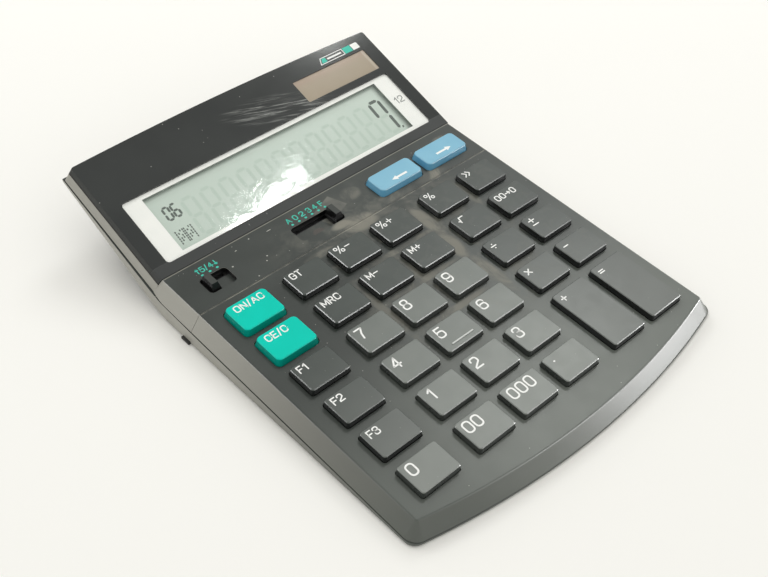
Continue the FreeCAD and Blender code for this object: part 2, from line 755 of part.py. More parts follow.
# Screws: places on the key surface, on the display and on the table
screw_columns = (0, 3)
screw_rows = (1, 3, 5)
board_screws = []
for left in screw_columns:
    x = (columns[left] + columns[left + 1]) / 2
    for row in screw_rows:
        board_screws.append((x, top_row - size("row_pitch") * row + size("row_pitch") / 2))
half_deck = size("deck_width") / 2
front_screw = (half_deck - size("front_screw_inset"), size("front_screw_set") - size("front_apex"))
side_screw = (half_deck - size("side_screw_inset"), size("side_screw_y"))
lid_screws = [(place[0] * side, place[1]) for place in (front_screw, side_screw) for side in (-1, 1)]
rear_screw_x = size("display_width") / 2 - size("rear_screw_inset")
rear_screws = [(-rear_screw_x, size("rear_screw_v")), (rear_screw_x, size("rear_screw_v"))]


def depth_under(y):
    # Thickness of the case below the key surface, at a distance behind the key line
    tan_deck = sin_deck / cos_deck
    return size("deck_thickness") + y * tan_deck


def deck_outline(offset, rear):
    # Outline of the key surface grown by an offset
    return (size("deck_width") / 2 + offset, rear, -size("front_apex") - offset, size("front_bow") + offset,
            size("deck_corner") + offset)


def keyboard_cover():
    # Shell of the key surface with its leaning sides and bowed lip
    slope = size("rim_reach") / size("rim_depth")
    rear = size("cover_split")
    beyond = rear + size("rim_reach") * 2
    shell = bowed_pad("cover_shell", deck_outline(size("rim_reach"), beyond), -size("rim_depth"), zero,
                      inward(size("rim_reach"), size("rim_depth")))
    soften(shell, size("edge_radius"), lambda edge: top_edge(0)(edge) and edge.BoundBox.YMin < 0)
    run = size("wall_run")
    spare = size("rim_depth") + 1
    low = deck_outline(slope * spare - run, beyond * 2)
    hollow = bowed_pad("cover_hollow", low, -spare, -size("deck_plate"),
                       inward(size("rim_reach"), size("rim_depth")))
    wide = size("base_width")
    rear_cut = block("cover_rear", (-wide, wide), (rear - size("seam_gap") / 2, beyond * 3),
                     (-spare, size("key_rise")))
    shell_part = cut("cover_open", shell, group("cover_spaces", [hollow, rear_cut]))
    bosses = []
    holes = []
    for index, (x, y) in enumerate(board_screws):
        bosses.append(rod("board_boss_%d" % index, size("boss_radius"), x, y, (board_top, plate_under)))
    for index, (x, y) in enumerate(lid_screws):
        bosses.append(rod("lid_boss_%d" % index, size("boss_radius"), x, y, (boss_foot(y), plate_under)))
    for index, (x, y) in enumerate(board_screws + lid_screws):
        low = -depth_under(y)
        high = plate_under + size("fit_gap")
        holes.append(rod("pilot_%d" % index, size("screw_radius") + size("thread_gap"), x, y, (low, high)))
    solid = joined("cover_bosses", [shell_part] + bosses)
    for entry in keys:
        holes.append(key_opening(*entry))
    keep(cut("keyboard_cover", solid, group("cover_holes", holes)), "keyboard_cover", deck_frame)


def boss_foot(y):
    # Lower end of a cover boss, on the post of the bottom case
    return -depth_under(y) + size("head_sink") + size("floor_plate") + size("fit_gap")


def parting_line(gap):
    # Points of the parting line seen from the side, in the key surface's frame
    rim = size("rim_depth") + gap
    drop = size("display_rim") + gap
    rise = (drop * cos_face - rim) / sin_face
    kink = (size("display_seam") + rise * cos_face + drop * sin_face, -rim)
    far = size("display_length") * 2
    end = (size("display_seam") + far * cos_face + drop * sin_face, far * sin_face - drop * cos_face)
    return (-size("case_depth"), -rim), kink, end


def parting_tool(name, gap, above):
    # Everything on one side of the parting line, with its bend rounded
    start, kink, end = parting_line(gap)
    limit = size("case_depth") if above else -size("case_depth")
    owner = body(name)
    side = sketch(owner, name + "_side", "YZ_Plane", -size("base_width"))
    closed_polygon(side, [start, kink, end, (end[0], limit), (start[0], limit)])
    pad = owner.newObject("PartDesign::Pad", name + "_pad")
    pad.Profile = side
    bind(pad, {"Length": size("base_width") * 2})
    level = number(kink[1])

    def bend(edge):
        box = edge.BoundBox
        return abs(box.ZMin - level) < same and abs(box.YMin - number(kink[0])) < same and box.XLength > 1

    soften(owner, size("parting_bend"), bend)
    return owner


def tray_lean():
    # How far the sides of the display lean out for each millimetre of depth
    return (size("deck_width") / 2 + size("rim_reach") - size("tray_set_back") - size("display_width") / 2) \
        / size("display_rim")


def bow_disc(name, apex, bow, z_range):
    # Upright disc that ends a shape at a bowed rear edge, which crosses the centre line at its apex
    return rod(name, bow, zero, apex - bow, z_range)


def rear_cover():
    # Switch panel and display tray in one moulding
    front = size("cover_split") + size("seam_gap") / 2
    seam = size("display_seam")
    length = size("display_length")
    deck_half = size("deck_width") / 2
    slope = size("rim_reach") / size("rim_depth")
    spare = size("rim_depth") + 2
    spread = deck_half + slope * spare
    rear = seam + size("display_rim") * sin_face
    panel = tapered("panel_shell", (-spread, spread), (front, rear), -spare,
                    (-deck_half, deck_half), (front, rear), zero)
    panel = rounded("panel_round", panel, size("edge_radius"), side_ridge)
    face_half = size("display_width") / 2
    lean = tray_lean()
    low_half = face_half + lean * (size("display_rim") + 2)
    run = size("wall_run")
    bow = size("rear_bow")
    tray = tapered("tray_shell", (-low_half, low_half), (zero, length + run), -size("display_rim") - 2,
                   (-face_half, face_half), (zero, length + run), zero)
    tray = shared("tray_bowed", tray, bow_disc("tray_disc", length, bow, (-spare * 2, spare)))
    tray = rounded("tray_round", tray, size("rear_corner"), rear_upright)
    tray_in_deck = group("tray_placed", [tray])
    tray_in_deck.Placement = display_in_deck
    outer = cut("rear_shell", joined("rear_shells", [panel, tray_in_deck]),
                parting_tool("under_parting", zero, False))
    under = size("deck_plate")
    clear = 5
    below = size("rim_depth") + clear
    riser = seam - size("tray_plate")
    panel_hollow = tapered(
        "panel_hollow",
        (-deck_half - slope * below + run, deck_half + slope * below - run), (front - clear, riser), -below,
        (-deck_half - slope * under + run, deck_half + slope * under - run), (front - clear, riser), -under)
    seat = size("cover_plate") + size("fit_gap")
    tray_under = seat + size("tray_plate")
    deep = size("display_rim") + clear
    passage = block("passage", (run - deck_half, deck_half - run), (riser - 1, seam + size("window_front")),
                    (-below, -tray_under - size("fit_gap")))
    tray_hollow = tapered(
        "tray_hollow",
        (-face_half - lean * deep + run, face_half + lean * deep - run),
        (size("tray_plate"), length), -deep,
        (-face_half - lean * tray_under + run, face_half + lean * tray_under - run),
        (size("tray_plate"), length), -tray_under)
    hollow_disc = bow_disc("hollow_disc", length - run, bow - run, (-deep * 2, deep))
    tray_hollow = shared("tray_hollow_bowed", tray_hollow, hollow_disc)
    wide = size("base_width")
    cover_room = block("cover_room", (-wide, wide), (zero, length * 2), (-seat, length))
    bezel = size("bezel_extra") + size("fit_gap")
    window_half = size("window_width") / 2 + bezel
    window_low = size("window_front") - bezel
    window_high = size("window_front") + size("window_length") + bezel
    glass_room = block("glass_room", (-window_half, window_half), (window_low, window_high), (-deep, zero))
    margin = size("solar_margin") + size("fit_gap")
    solar_room = block(
        "solar_room",
        (size("solar_right") - size("solar_width") - margin, size("solar_right") + margin),
        (size("solar_front") - margin - size("solar_leg"),
         size("solar_front") + size("solar_length") + margin),
        (-deep, zero))
    room = group("display_rooms", [tray_hollow, cover_room, glass_room, solar_room])
    room.Placement = display_in_deck
    hollowed = cut("rear_open", outer, group("rear_hollows", [panel_hollow, passage, room]))
    wells = []
    holes = []
    for name, x_range, slit in switch_wells():
        y_range = (size("slot_front"), size("slot_front") + size("slot_length"))
        wall = size("well_floor")
        floor = -size("well_depth")
        wells.append(block(name + "_tub", (x_range[0] - wall, x_range[1] + wall),
                           (y_range[0] - wall, y_range[1] + wall), (floor - wall, plate_under)))
        holes.append(rounded_block(name + "_well", x_range, y_range, (floor, size("key_rise")),
                                   size("well_corner")))
        holes.append(block(name + "_slit", slit,
                           centred(neck_y, size("neck_length") + size("knob_gap") * 2),
                           (floor - wall * 2, size("key_rise"))))
    holes.extend(key_opening(*entry) for entry in blue_keys)
    root = size("post_root") - tray_under
    stands = []
    pilots = []
    for index, (x, v) in enumerate(rear_screws):
        stands.append(rod("rear_boss_%d" % index, size("boss_radius"), x, v, (rear_foot(v), root)))
        pilots.append(rod("rear_pilot_%d" % index, size("screw_radius") + size("thread_gap"), x, v,
                          (-deep, -seat - size("fit_gap") * 2)))
    for index, (x, v) in enumerate(board_pegs):
        stands.append(rod("tray_peg_%d" % index, size("peg_radius"), x, v, (-small_board_under, root)))
        stands.append(rod("tray_post_%d" % index, size("peg_radius") * 2, x, v,
                          (size("fit_gap") - small_board_top, root)))
    stand_group = joined("tray_stands", stands)
    stand_group.Placement = display_in_deck
    pilot_group = group("rear_pilots", pilots)
    pilot_group.Placement = display_in_deck
    tongue_top = plate_under - size("fit_gap")
    tongue_low = tongue_top - size("tongue_plate")
    tongue_x = centred(zero, size("board_width") - size("tongue_plate"))
    tongue = block("tongue", tongue_x, (front - size("tongue_reach"), front + 2), (tongue_low, tongue_top))
    tongue_root = block("tongue_root", tongue_x, (front + size("seam_gap"), front + 2),
                        (tongue_low, plate_under))
    walls = joined("rear_walls", [hollowed, tongue, tongue_root] + wells)
    solid = joined("rear_solid", [walls, stand_group])
    keep(cut("rear_cover", solid, group("rear_holes", holes + [pilot_group])), "rear_cover", deck_frame)


def side_ridge(edge):
    # Upper edge along a side
    box = edge.BoundBox
    return abs(box.ZMax) < same and box.ZLength < same and box.YLength > box.XLength


def rear_upright(edge):
    box = edge.BoundBox
    return upright(edge) and box.YMin > size("display_length").value / 2


# Slide switches: a knob in a well, with its neck through a slit in the well's floor
knob_y = size("slot_front") + size("slot_length") / 2
neck_y = knob_y + size("neck_shift")
rounding_places = 3
decimal_places = 6
rounding_travel = size("rounding_step") * (rounding_places - 1)
decimal_travel = size("decimal_step") * (decimal_places - 1)


def switch_wells():
    half = size("knob_width") / 2 + size("slot_spare")
    neck = size("neck_width") / 2 + size("knob_gap")
    rounding = size("rounding_x")
    decimal = size("decimal_x")
    return [
        ("rounding", (rounding - half, rounding + rounding_travel + half),
         (rounding - neck, rounding + rounding_travel + neck)),
        ("decimal", (decimal - decimal_travel - half, decimal + half),
         (decimal - decimal_travel - neck, decimal + neck)),
    ]


def slide_knob(name, x, travel):
    # Knob with a low step on its left and a ridge on its right, a neck, and a plate that closes its slit
    floor = -size("well_depth") + size("knob_gap")
    half = size("knob_width") / 2
    base = rounded_block(name + "_base", centred(x, size("knob_width")), centred(knob_y, size("knob_length")),
                         (floor, -size("knob_step")), size("well_corner") - size("knob_gap"))
    lean = size("ridge_lean")
    right = x + half
    left = right - size("ridge_width") - lean * 2
    front = knob_y - size("knob_length") / 2 + size("ridge_inset")
    rear = knob_y + size("knob_length") / 2 - size("ridge_inset")
    ridge = tapered(name + "_ridge", (left, right), (front, rear), -size("knob_step"),
                    (left + lean, right - lean), (front + size("ridge_slope"), rear), size("knob_rise"))
    slider_top = -size("well_depth") - size("well_floor") - size("fit_gap")
    slider_low = slider_top - size("slider_plate")
    neck = block(name + "_neck", centred(x, size("neck_width")), centred(neck_y, size("neck_length")),
                 (slider_low, floor))
    slider = block(name + "_slider", centred(x, size("slider_width")), centred(knob_y, size("slider_length")),
                   (slider_low, slider_top))
    reach = travel + size("neck_width") / 2 + size("knob_gap") + size("shield_lap")
    shield = block(name + "_shield", centred(x, reach * 2), centred(neck_y, size("neck_length") * 2),
                   (slider_low, slider_top))
    keep(joined(name, [base, ridge, neck, slider, shield]), name, deck_frame)
    return slider_low


def wiper(name, x, top):
    # Metal contact: a plate under the slider and two feet that reach the board
    plate = block(name + "_plate", centred(x, size("slider_width") - size("wiper_plate") * 2),
                  centred(knob_y, size("slider_length")), (top - size("wiper_plate"), top))
    feet = []
    for sign in (-1, 1):
        y = knob_y + (size("slider_length") / 2 - size("wiper_inset")) * sign
        feet.append(block("%s_foot_%d" % (name, sign + 1), centred(x, size("slider_width") / 2),
                          centred(y, size("wiper_plate") * 2), (board_top + size("fit_gap") / 2, top)))
    keep(joined(name, [plate] + feet), name, deck_frame)


def display_cover():
    # Panel with leaning sides, open at the window and at the solar cell
    face_half = size("display_width") / 2
    low_half = face_half + tray_lean() * size("cover_plate")
    front = size("seam_gap")
    through = (-size("cover_plate") * 2, size("cover_plate"))
    length = size("display_length")
    beyond = length + size("wall_run")
    panel = tapered("panel", (-low_half, low_half), (front, beyond), -size("cover_plate"),
                    (-face_half, face_half), (front, beyond), zero)
    panel = shared("panel_bowed", panel, bow_disc("panel_disc", length, size("rear_bow"), through))
    panel = rounded("panel_corners", panel, size("rear_corner"), rear_upright)
    panel = rounded("panel_edges", panel, size("cover_edge"), lambda edge: top_edge(0)(edge)
                    and edge.BoundBox.YMax > size("display_length").value / 2)
    gap = size("fit_gap")
    window = rounded_block("window_hole", centred(zero, size("window_width") + gap * 2),
                           (size("window_front") - gap, size("window_front") + size("window_length") + gap),
                           through, size("window_corner"))
    solar = rounded_block("solar_hole", (size("solar_right") - size("solar_width"), size("solar_right")),
                          (size("solar_front"), size("solar_front") + size("solar_length")),
                          through, size("solar_corner"))
    keep(cut("display_cover", panel, group("panel_holes", [window, solar])), "display_cover", display_frame)


# Levels below the display surface
bezel_top = size("window_plate") + size("fit_gap")
bezel_seat = bezel_top + size("bezel_lip")
seat_top = size("cover_plate") + size("fit_gap")
bezel_under = seat_top + size("bezel_plate")
glass_top = bezel_seat + size("glass_drop")
glass_under = glass_top + size("glass_plate")
small_board_top = glass_under + size("contact_strip")
small_board_under = small_board_top + size("small_board")
glass_front = size("window_front") + (size("window_length") - size("glass_length")) / 2
peg_row = size("small_board_rear") - size("peg_radius") - size("peg_edge")
board_pegs = [
    (size("peg_inset") - size("window_width") / 2, peg_row),
    (size("solar_right") - size("solar_width") - size("peg_step"), peg_row),
]


def under_case(v):
    # Depth of the case's sloping underside below the display, along the display's normal
    y = deck_y + size("display_seam") * cos_deck + v * cos_turn
    z = deck_z + size("display_seam") * sin_deck + v * sin_turn
    height = z - size("foot_rise") - (y - size("ramp_start")) * tan_ramp
    return height / (cos_turn + sin_turn * tan_ramp)


def rear_foot(v):
    # Lower end of a tray boss, on the post of the bottom case
    return size("head_sink") + size("floor_plate") + size("fit_gap") - under_case(v)


def display_stack():
    # Clear window, white frame, glass, contact strip, board and solar cell, from the top down
    low = size("window_front")
    high = low + size("window_length")
    wide = size("window_width")
    keep(rounded_block("window_plate", centred(zero, wide), (low, high), (-size("window_plate"), zero),
                       size("window_corner")), "display_window", display_frame)
    extra = size("bezel_extra")
    gap = size("fit_gap")
    raised = rounded_block("bezel_raised", centred(zero, wide), (low, high), (-bezel_under, -bezel_top),
                           size("window_corner"))
    flange = block("bezel_flange", centred(zero, wide + extra * 2), (low - extra, high + extra),
                   (-bezel_under, -seat_top))
    view = block("bezel_view", centred(zero, size("view_width")),
                 (size("view_front"), size("view_front") + size("view_length")), (-bezel_under, zero))
    pocket = block("bezel_pocket", centred(zero, size("glass_width") + gap * 2),
                   (glass_front - gap, glass_front + size("glass_length") + gap), (-glass_under, -bezel_seat))
    keep(cut("lcd_bezel", joined("bezel_solid", [raised, flange]), group("bezel_spaces", [view, pocket])),
         "lcd_bezel", display_frame)
    glass = block("glass_block", centred(zero, size("glass_width")),
                  (glass_front, glass_front + size("glass_length")), (-glass_under, -glass_top))
    keep(placed("glass_in_case", [glass], display_frame), "lcd_glass")
    strip_front = glass_front + size("contact_set")
    strip = block("strip_block", centred(zero, size("glass_width") - size("contact_width") * 2),
                  (strip_front, strip_front + size("contact_width")), (-small_board_top, -glass_under))
    keep(placed("strip_in_case", [strip], display_frame), "contact_strip")
    board = block("small_plate", centred(zero, size("window_width")), (glass_front, size("small_board_rear")),
                  (-small_board_under, -small_board_top))
    holes = []
    for index, (x, v) in enumerate(board_pegs):
        holes.append(rod("peg_hole_%d" % index, size("peg_radius") + size("fit_gap"), x, v,
                         (-small_board_under * 2, zero)))
    keep(cut("display_board", board, group("peg_holes", holes)), "display_board", display_frame)
    margin = size("solar_margin")
    left = size("solar_right") - size("solar_width") - margin
    front = size("solar_front") - margin
    cell = block("solar_plate", (left, size("solar_right") + margin),
                 (front, size("solar_front") + size("solar_length") + margin),
                 (-seat_top - size("solar_plate"), -seat_top))
    face = rounded_block("solar_face", (left + margin + gap, size("solar_right") - gap),
                         (size("solar_front") + gap, size("solar_front") + size("solar_length") - gap),
                         (-seat_top - size("solar_plate") / 2, -size("solar_sink")),
                         size("solar_corner") - gap)
    legs = [face]
    for index in range(2):
        x = left + size("leg_inset") + size("leg_pitch") * index
        legs.append(block("solar_leg_%d" % index, (x, x + size("solar_leg")),
                          (front - size("solar_leg"), front + size("solar_leg")),
                          (-small_board_top, -seat_top - size("solar_plate") / 2)))
    keep(joined("solar_cell", [cell] + legs), "solar_cell", display_frame)


def key_mat():
    # Rubber sheet with a hollow dome under each key
    half = size("board_width") / 2
    front = -size("board_front")
    sheet_z = (board_top, mat_top)
    field = block("mat_field", (-half, half), (front, size("mat_rear")), sheet_z)
    tab_left = size("blue_left") - size("blue_width") / 2 - size("mat_tab_reach")
    tab = block("mat_tab", (tab_left, half), (front / 2, size("mat_tab_rear")), sheet_z)
    domes = []
    hollows = []
    for name, x, y, width, depth, soft in keys + blue_keys:
        domes.append(cone("dome_" + name, size("dome_base"), size("dome_top"), x, y, (mat_top, dome_crown)))
        wall = size("dome_wall")
        hollows.append(cone("dome_hollow_" + name, size("dome_base") - wall, size("dome_top") - wall, x, y,
                            (board_top, dome_crown - wall)))
    for index, (x, y) in enumerate(board_screws):
        hollows.append(rod("mat_hole_%d" % index, size("boss_radius") + size("boss_clear"), x, y,
                           (board_top, plate_under)))
    keep(cut("keypad_mat", joined("mat_solid", [field, tab] + domes), group("mat_hollows", hollows)),
         "keypad_mat", deck_frame)


def cone(name, low_radius, high_radius, x, y, z_range):
    item = doc.addObject("Part::Cone", name)
    bind(item, {
        "Radius1": low_radius,
        "Radius2": high_radius,
        "Height": z_range[1] - z_range[0],
        "Placement.Base.x": x,
        "Placement.Base.y": y,
        "Placement.Base.z": z_range[0],
    })
    return item


def main_board():
    plate = block("board_plate", centred(zero, size("board_width")),
                  (-size("board_front"), size("board_rear")), (board_under, board_top))
    holes = []
    for index, (x, y) in enumerate(board_screws):
        holes.append(rod("board_hole_%d" % index, size("screw_radius") + size("thread_gap"), x, y,
                         (board_under * 2, zero)))
    keep(cut("main_board", plate, group("board_holes", holes)), "main_board", deck_frame)
    blob = cone("blob", size("blob_crown"), size("blob_radius"), zero,
                size("board_rear") - size("blob_set"), (board_under - size("blob_rise"), board_under))
    keep(placed("blob_in_case", [blob], deck_frame), "sealed_chip")


def ribbon():
    # Flat ribbon soldered under both boards and bent between them
    lap = size("ribbon_lap")
    thick = size("ribbon_plate")
    first = (size("board_rear") - lap, board_under)
    second = (size("board_rear") + size("fit_gap"), board_under)
    v = glass_front + lap

    def under_display(along, depth):
        return (size("display_seam") + along * cos_face + depth * sin_face,
                along * sin_face - depth * cos_face)

    third = under_display(glass_front, small_board_under)
    fourth = under_display(v, small_board_under)
    owner = body("ribbon_cable")
    side = sketch(owner, "ribbon_side", "YZ_Plane", -size("ribbon_x") - size("ribbon_width") / 2)
    closed_polygon(side, [
        first, second, third, fourth,
        under_display(v, small_board_under + thick),
        under_display(glass_front, small_board_under + thick),
        (second[0], second[1] - thick),
        (first[0], first[1] - thick),
    ])
    pad = owner.newObject("PartDesign::Pad", "ribbon_pad")
    pad.Profile = side
    bind(pad, {"Length": size("ribbon_width")})
    keep(owner, "ribbon_cable", deck_frame)


def screw(name, x, y, low, high):
    # Pan head below a plain shank
    head = rod(name + "_head", size("head_radius"), x, y, (low, low + size("head_plate")))
    shank = rod(name + "_shank", size("screw_radius"), x, y, (low + size("head_plate") / 2, high))
    return joined(name, [head, shank])


def screws():
    tip = plate_under - size("fit_gap")
    under_board = [screw("board_screw_%d" % index, x, y, board_under - size("head_plate"), tip)
                   for index, (x, y) in enumerate(board_screws)]
    keep(group("board_screws", under_board), "board_screws", deck_frame)
    lid = []
    for index, (x, y) in enumerate(lid_screws):
        seat = size("head_sink") - depth_under(y)
        lid.append(screw("lid_screw_%d" % index, x, y, seat - size("head_plate"), tip))
    rear = []
    for index, (x, v) in enumerate(rear_screws):
        seat = size("head_sink") - under_case(v)
        rear.append(screw("rear_screw_%d" % index, x, v, seat - size("head_plate"),
                          -size("cover_plate") - size("tip_gap")))
    x = size("cell_x")
    y = size("door_screw")
    low = size("foot_rise")
    door = joined("door_screw", [
        rod("door_screw_head", size("head_radius"), x, y, (low, low + size("head_plate") / 2)),
        rod("door_screw_shank", size("screw_radius"), x, y,
            (low + size("head_plate") / 4, roof_low - size("cell_gap"))),
    ])
    placed_sets = [placed("lid_set", lid, deck_frame), placed("rear_set", rear, display_frame)]
    keep(group("case_screws", placed_sets + [door]), "case_screws")


def bottom_case():
    # Tray in the table's frame: bowed outline, flat floor, sloping rear and a rim at the parting line
    rise = size("foot_rise")
    tall = size("case_depth") / 3
    wall = size("case_wall")
    base = size("base_width") / 2
    bow = size("front_bow") + size("rim_reach")
    rear_bow = size("rear_bow") / cos_turn
    beyond = half_case + wall
    plan = bowed_pad("base_plan", (base, beyond, -half_case, bow, size("corner_radius")), zero, tall)
    plan = shared("plan_bowed", plan, bow_disc("plan_disc", half_case, rear_bow, (-wall, tall + wall)))
    plan = rounded("plan_round", plan, size("rear_corner"), lambda edge: upright(edge)
                   and edge.BoundBox.YMin > 0)
    plan_inside = bowed_pad("base_inside", (base - wall, beyond, wall - half_case, bow - wall,
                                            size("corner_radius") - wall), zero, tall)
    inside_disc = bow_disc("inside_disc", half_case - wall, rear_bow - wall, (-wall, tall + wall))
    plan_inside = shared("inside_bowed", plan_inside, inside_disc)
    outside = side_profile("base_side", zero)
    ramp_start = size("ramp_start").value
    soften(outside, size("ramp_blend"), lambda edge: abs(edge.BoundBox.YMin - ramp_start) < same
           and edge.BoundBox.YLength < same and edge.BoundBox.XLength > 1)
    inside = side_profile("floor_side", size("floor_plate"))
    shell = shared("base_outer", plan, outside)
    hollow = shared("base_inner", plan_inside, inside)
    above = placed("above_placed", [parting_tool("above_parting", size("parting_gap"), True)], deck_frame)
    shave = side_shave()
    tub = cut("base_tub", shell, group("base_spaces", [hollow, above, shave]))
    posts = []
    holes = []
    post = size("boss_radius") + size("post_extra")
    head = size("head_radius") + size("head_gap")
    shank = size("screw_radius") + size("knob_gap")
    for index, (x, y) in enumerate(lid_screws):
        low = -depth_under(y)
        seat = low + size("head_sink")
        post_range = (low + size("fit_gap"), seat + size("floor_plate"))
        posts.append(rod("lid_post_%d" % index, post, x, y, post_range))
        holes.append(rod("lid_sink_%d" % index, head, x, y, (low * 2, seat)))
        holes.append(rod("lid_shaft_%d" % index, shank, x, y, (low * 2, zero)))
    rear_posts = []
    rear_holes = []
    for index, (x, v) in enumerate(rear_screws):
        low = -under_case(v)
        seat = low + size("head_sink")
        post_range = (seat - size("fit_gap"), seat + size("floor_plate"))
        rear_posts.append(rod("rear_post_%d" % index, post, x, v, post_range))
        rear_holes.append(rod("rear_sink_%d" % index, head, x, v, (low * 2, seat)))
        rear_holes.append(rod("rear_shaft_%d" % index, shank, x, v, (low * 2, zero)))
    stands = group("case_posts", [placed("lid_posts", posts, deck_frame),
                                  placed("rear_posts", rear_posts, display_frame)])
    room = battery_room()
    holes_all = [placed("lid_holes", holes, deck_frame), placed("rear_holes_set", rear_holes, display_frame)]
    solid = joined("base_solid", [tub, shared("posts_inside", plan, stands), room[0]])
    openings = holes_all + room[1] + foot_recesses() + [label_recess()]
    keep(cut("bottom_case", solid, group("base_holes", openings)), "bottom_case")


def side_profile(name, inset):
    # Everything above the flat floor and the sloping rear, seen from the side
    tan_half = turned(math.tan, "tan", size("ramp_angle") / 2)
    floor = size("foot_rise") + inset
    kink = size("ramp_start") - inset * tan_half
    end = half_case * 1.2
    tall = size("case_depth") / 2
    owner = body(name)
    side = sketch(owner, name + "_sketch", "YZ_Plane", -size("base_width"))
    closed_polygon(side, [
        (-end, floor),
        (kink, floor),
        (end, floor + (end - kink) * tan_ramp),
        (end, tall),
        (-end, tall),
    ])
    pad = owner.newObject("PartDesign::Pad", name + "_pad")
    pad.Profile = side
    bind(pad, {"Length": size("base_width") * 2})
    doc.recompute()
    return owner


def side_shave():
    # Two slim wedges that narrow the case towards its rear corners
    base = size("base_width") / 2
    far = half_case * 2
    wedges = []
    for side in (-1, 1):
        owner = body("shave_%d" % (side + 1))
        plan = sketch(owner, "shave_plan_%d" % (side + 1), "XY_Plane")
        reach = size("rear_shave") * 2
        closed_polygon(plan, [
            (base * side, deck_y),
            ((base - reach) * side, deck_y + (half_case - deck_y) * 2),
            ((base + reach) * side, deck_y + (half_case - deck_y) * 2),
            ((base + reach) * side, deck_y),
        ])
        pad = owner.newObject("PartDesign::Pad", "shave_pad_%d" % (side + 1))
        pad.Profile = plan
        bind(pad, {"Length": far})
        wedges.append(owner)
    doc.recompute()
    return group("side_shaves", wedges)


# Heights of the battery pieces above the table
door_top = size("foot_rise") + size("door_plate")
cell_low = door_top + size("cell_gap")
cell_high = cell_low + size("cell_plate")
roof_low = cell_high + size("contact_plate") + size("fit_gap") * 2


def battery_room():
    # Walls and roof round the button cell, and the spaces cut from them
    x = size("cell_x")
    y = size("cell_y")
    wall = size("cell_wall")
    gap = size("door_gap")
    roof_top = roof_low + wall
    walls = block("battery_walls", centred(x, size("door_width") + (gap + wall) * 2),
                  centred(size("door_y"), size("door_length") + (gap + wall) * 2),
                  (size("foot_rise") + size("floor_plate") / 2, roof_top))
    bore = rod("cell_bore", size("cell_radius") + size("cell_gap"), x, y, (zero, roof_low))
    door_room = block("door_room", centred(x, size("door_width") + gap * 2),
                      centred(size("door_y"), size("door_length") + gap * 2),
                      (zero, door_top + size("fit_gap")))
    pilot = rod("door_pilot", size("screw_radius") + size("thread_gap"), x, size("door_screw"),
                (zero, roof_low))
    leaf_slot = block("leaf_opening", centred(x, size("leaf_slot")), centred(y, size("leaf_slot")),
                      (zero, roof_top * 2))
    strip_x = x + size("cell_radius")
    strip_slot = block("strip_opening", (strip_x, strip_x + size("contact_plate") + size("cell_gap") * 2),
                       centred(y, size("strip_slot")), (door_top, roof_top * 2))
    return walls, [bore, door_room, pilot, leaf_slot, strip_slot]


def battery_pieces():
    x = size("cell_x")
    y = size("cell_y")
    keep(rod("battery", size("cell_radius"), x, y, (cell_low, cell_high)), "battery")
    thick = size("contact_plate")
    leaf_low = cell_high + size("fit_gap")
    leaf = block("leaf", centred(x, size("cell_radius")), centred(y, size("solar_leg") * 2),
                 (leaf_low, leaf_low + thick))
    reach = board_height(y) - size("fit_gap")
    leaf_tab = block("leaf_tab", centred(x, size("solar_leg")), centred(y, thick), (leaf_low, reach))
    strip_left = x + size("cell_radius") + size("fit_gap")
    strip = block("strip", (strip_left, strip_left + thick), centred(y, size("strip_width")),
                  (cell_low, reach))
    keep(group("battery_contacts", [joined("leaf_contact", [leaf, leaf_tab]), strip]), "battery_contacts")
    plate = block("door_plate", centred(x, size("door_width")), centred(size("door_y"), size("door_length")),
                  (size("foot_rise"), door_top))
    hole = rod("door_hole", size("screw_radius") + size("fit_gap"), x, size("door_screw"),
               (zero, door_top * 2))
    sink = rod("door_sink", size("head_radius") + size("fit_gap"), x, size("door_screw"),
               (zero, size("foot_rise") + size("head_plate") / 2))
    keep(cut("battery_door", plate, group("door_holes", [hole, sink])), "battery_door")


def board_height(y):
    # Height of the main board's underside above the table
    return deck_z + (y - deck_y) * sin_deck / cos_deck + board_under / cos_deck


def feet_places():
    front = [(size("foot_x") * side, -size("foot_y")) for side in (-1, 1)]
    inner = size("base_width") / 2 + size("rear_foot_proud") - size("rear_foot_length")
    outer = size("base_width") / 2 + size("rear_foot_proud")
    rear = [(-outer, -inner), (inner, outer)]
    return front, rear


def foot_recesses():
    front, rear = feet_places()
    recess_top = size("foot_plate")
    gap = size("fit_gap")
    spaces = []
    for index, (x, y) in enumerate(front):
        spaces.append(rod("foot_recess_%d" % index, size("foot_radius") + gap, x, y,
                          (zero, recess_top + gap)))
    for index, x_range in enumerate(rear):
        spaces.append(block("strip_recess_%d" % index, (x_range[0] - gap, x_range[1] + gap),
                            centred(size("rear_foot_y"), size("rear_foot_width") + gap * 2),
                            (zero, recess_top + gap)))
    return spaces


def rubber_feet():
    front, rear = feet_places()
    feet = [rod("foot_%d" % index, size("foot_radius"), x, y, (zero, size("foot_plate")))
            for index, (x, y) in enumerate(front)]
    for index, x_range in enumerate(rear):
        feet.append(block("strip_foot_%d" % index, x_range,
                          centred(size("rear_foot_y"), size("rear_foot_width")), (zero, size("foot_plate"))))
    keep(group("rubber_feet", feet), "rubber_feet")


def label_recess():
    return block("label_recess", centred(-size("cell_x"), size("label_width")),
                 centred(-size("cell_y"), size("label_length")),
                 (zero, size("foot_rise") + size("label_depth")))


keyboard_cover()
rear_cover()
display_cover()
display_stack()
all_keys()
for name, place, travel in (("rounding_knob", size("rounding_x"), rounding_travel),
                            ("decimal_knob", size("decimal_x"), decimal_travel)):
    wiper(name.replace("knob", "wiper"), place, slide_knob(name, place, travel))
key_mat()
main_board()
ribbon()
bottom_case()
battery_pieces()
screws()
rubber_feet()
doc.recompute()

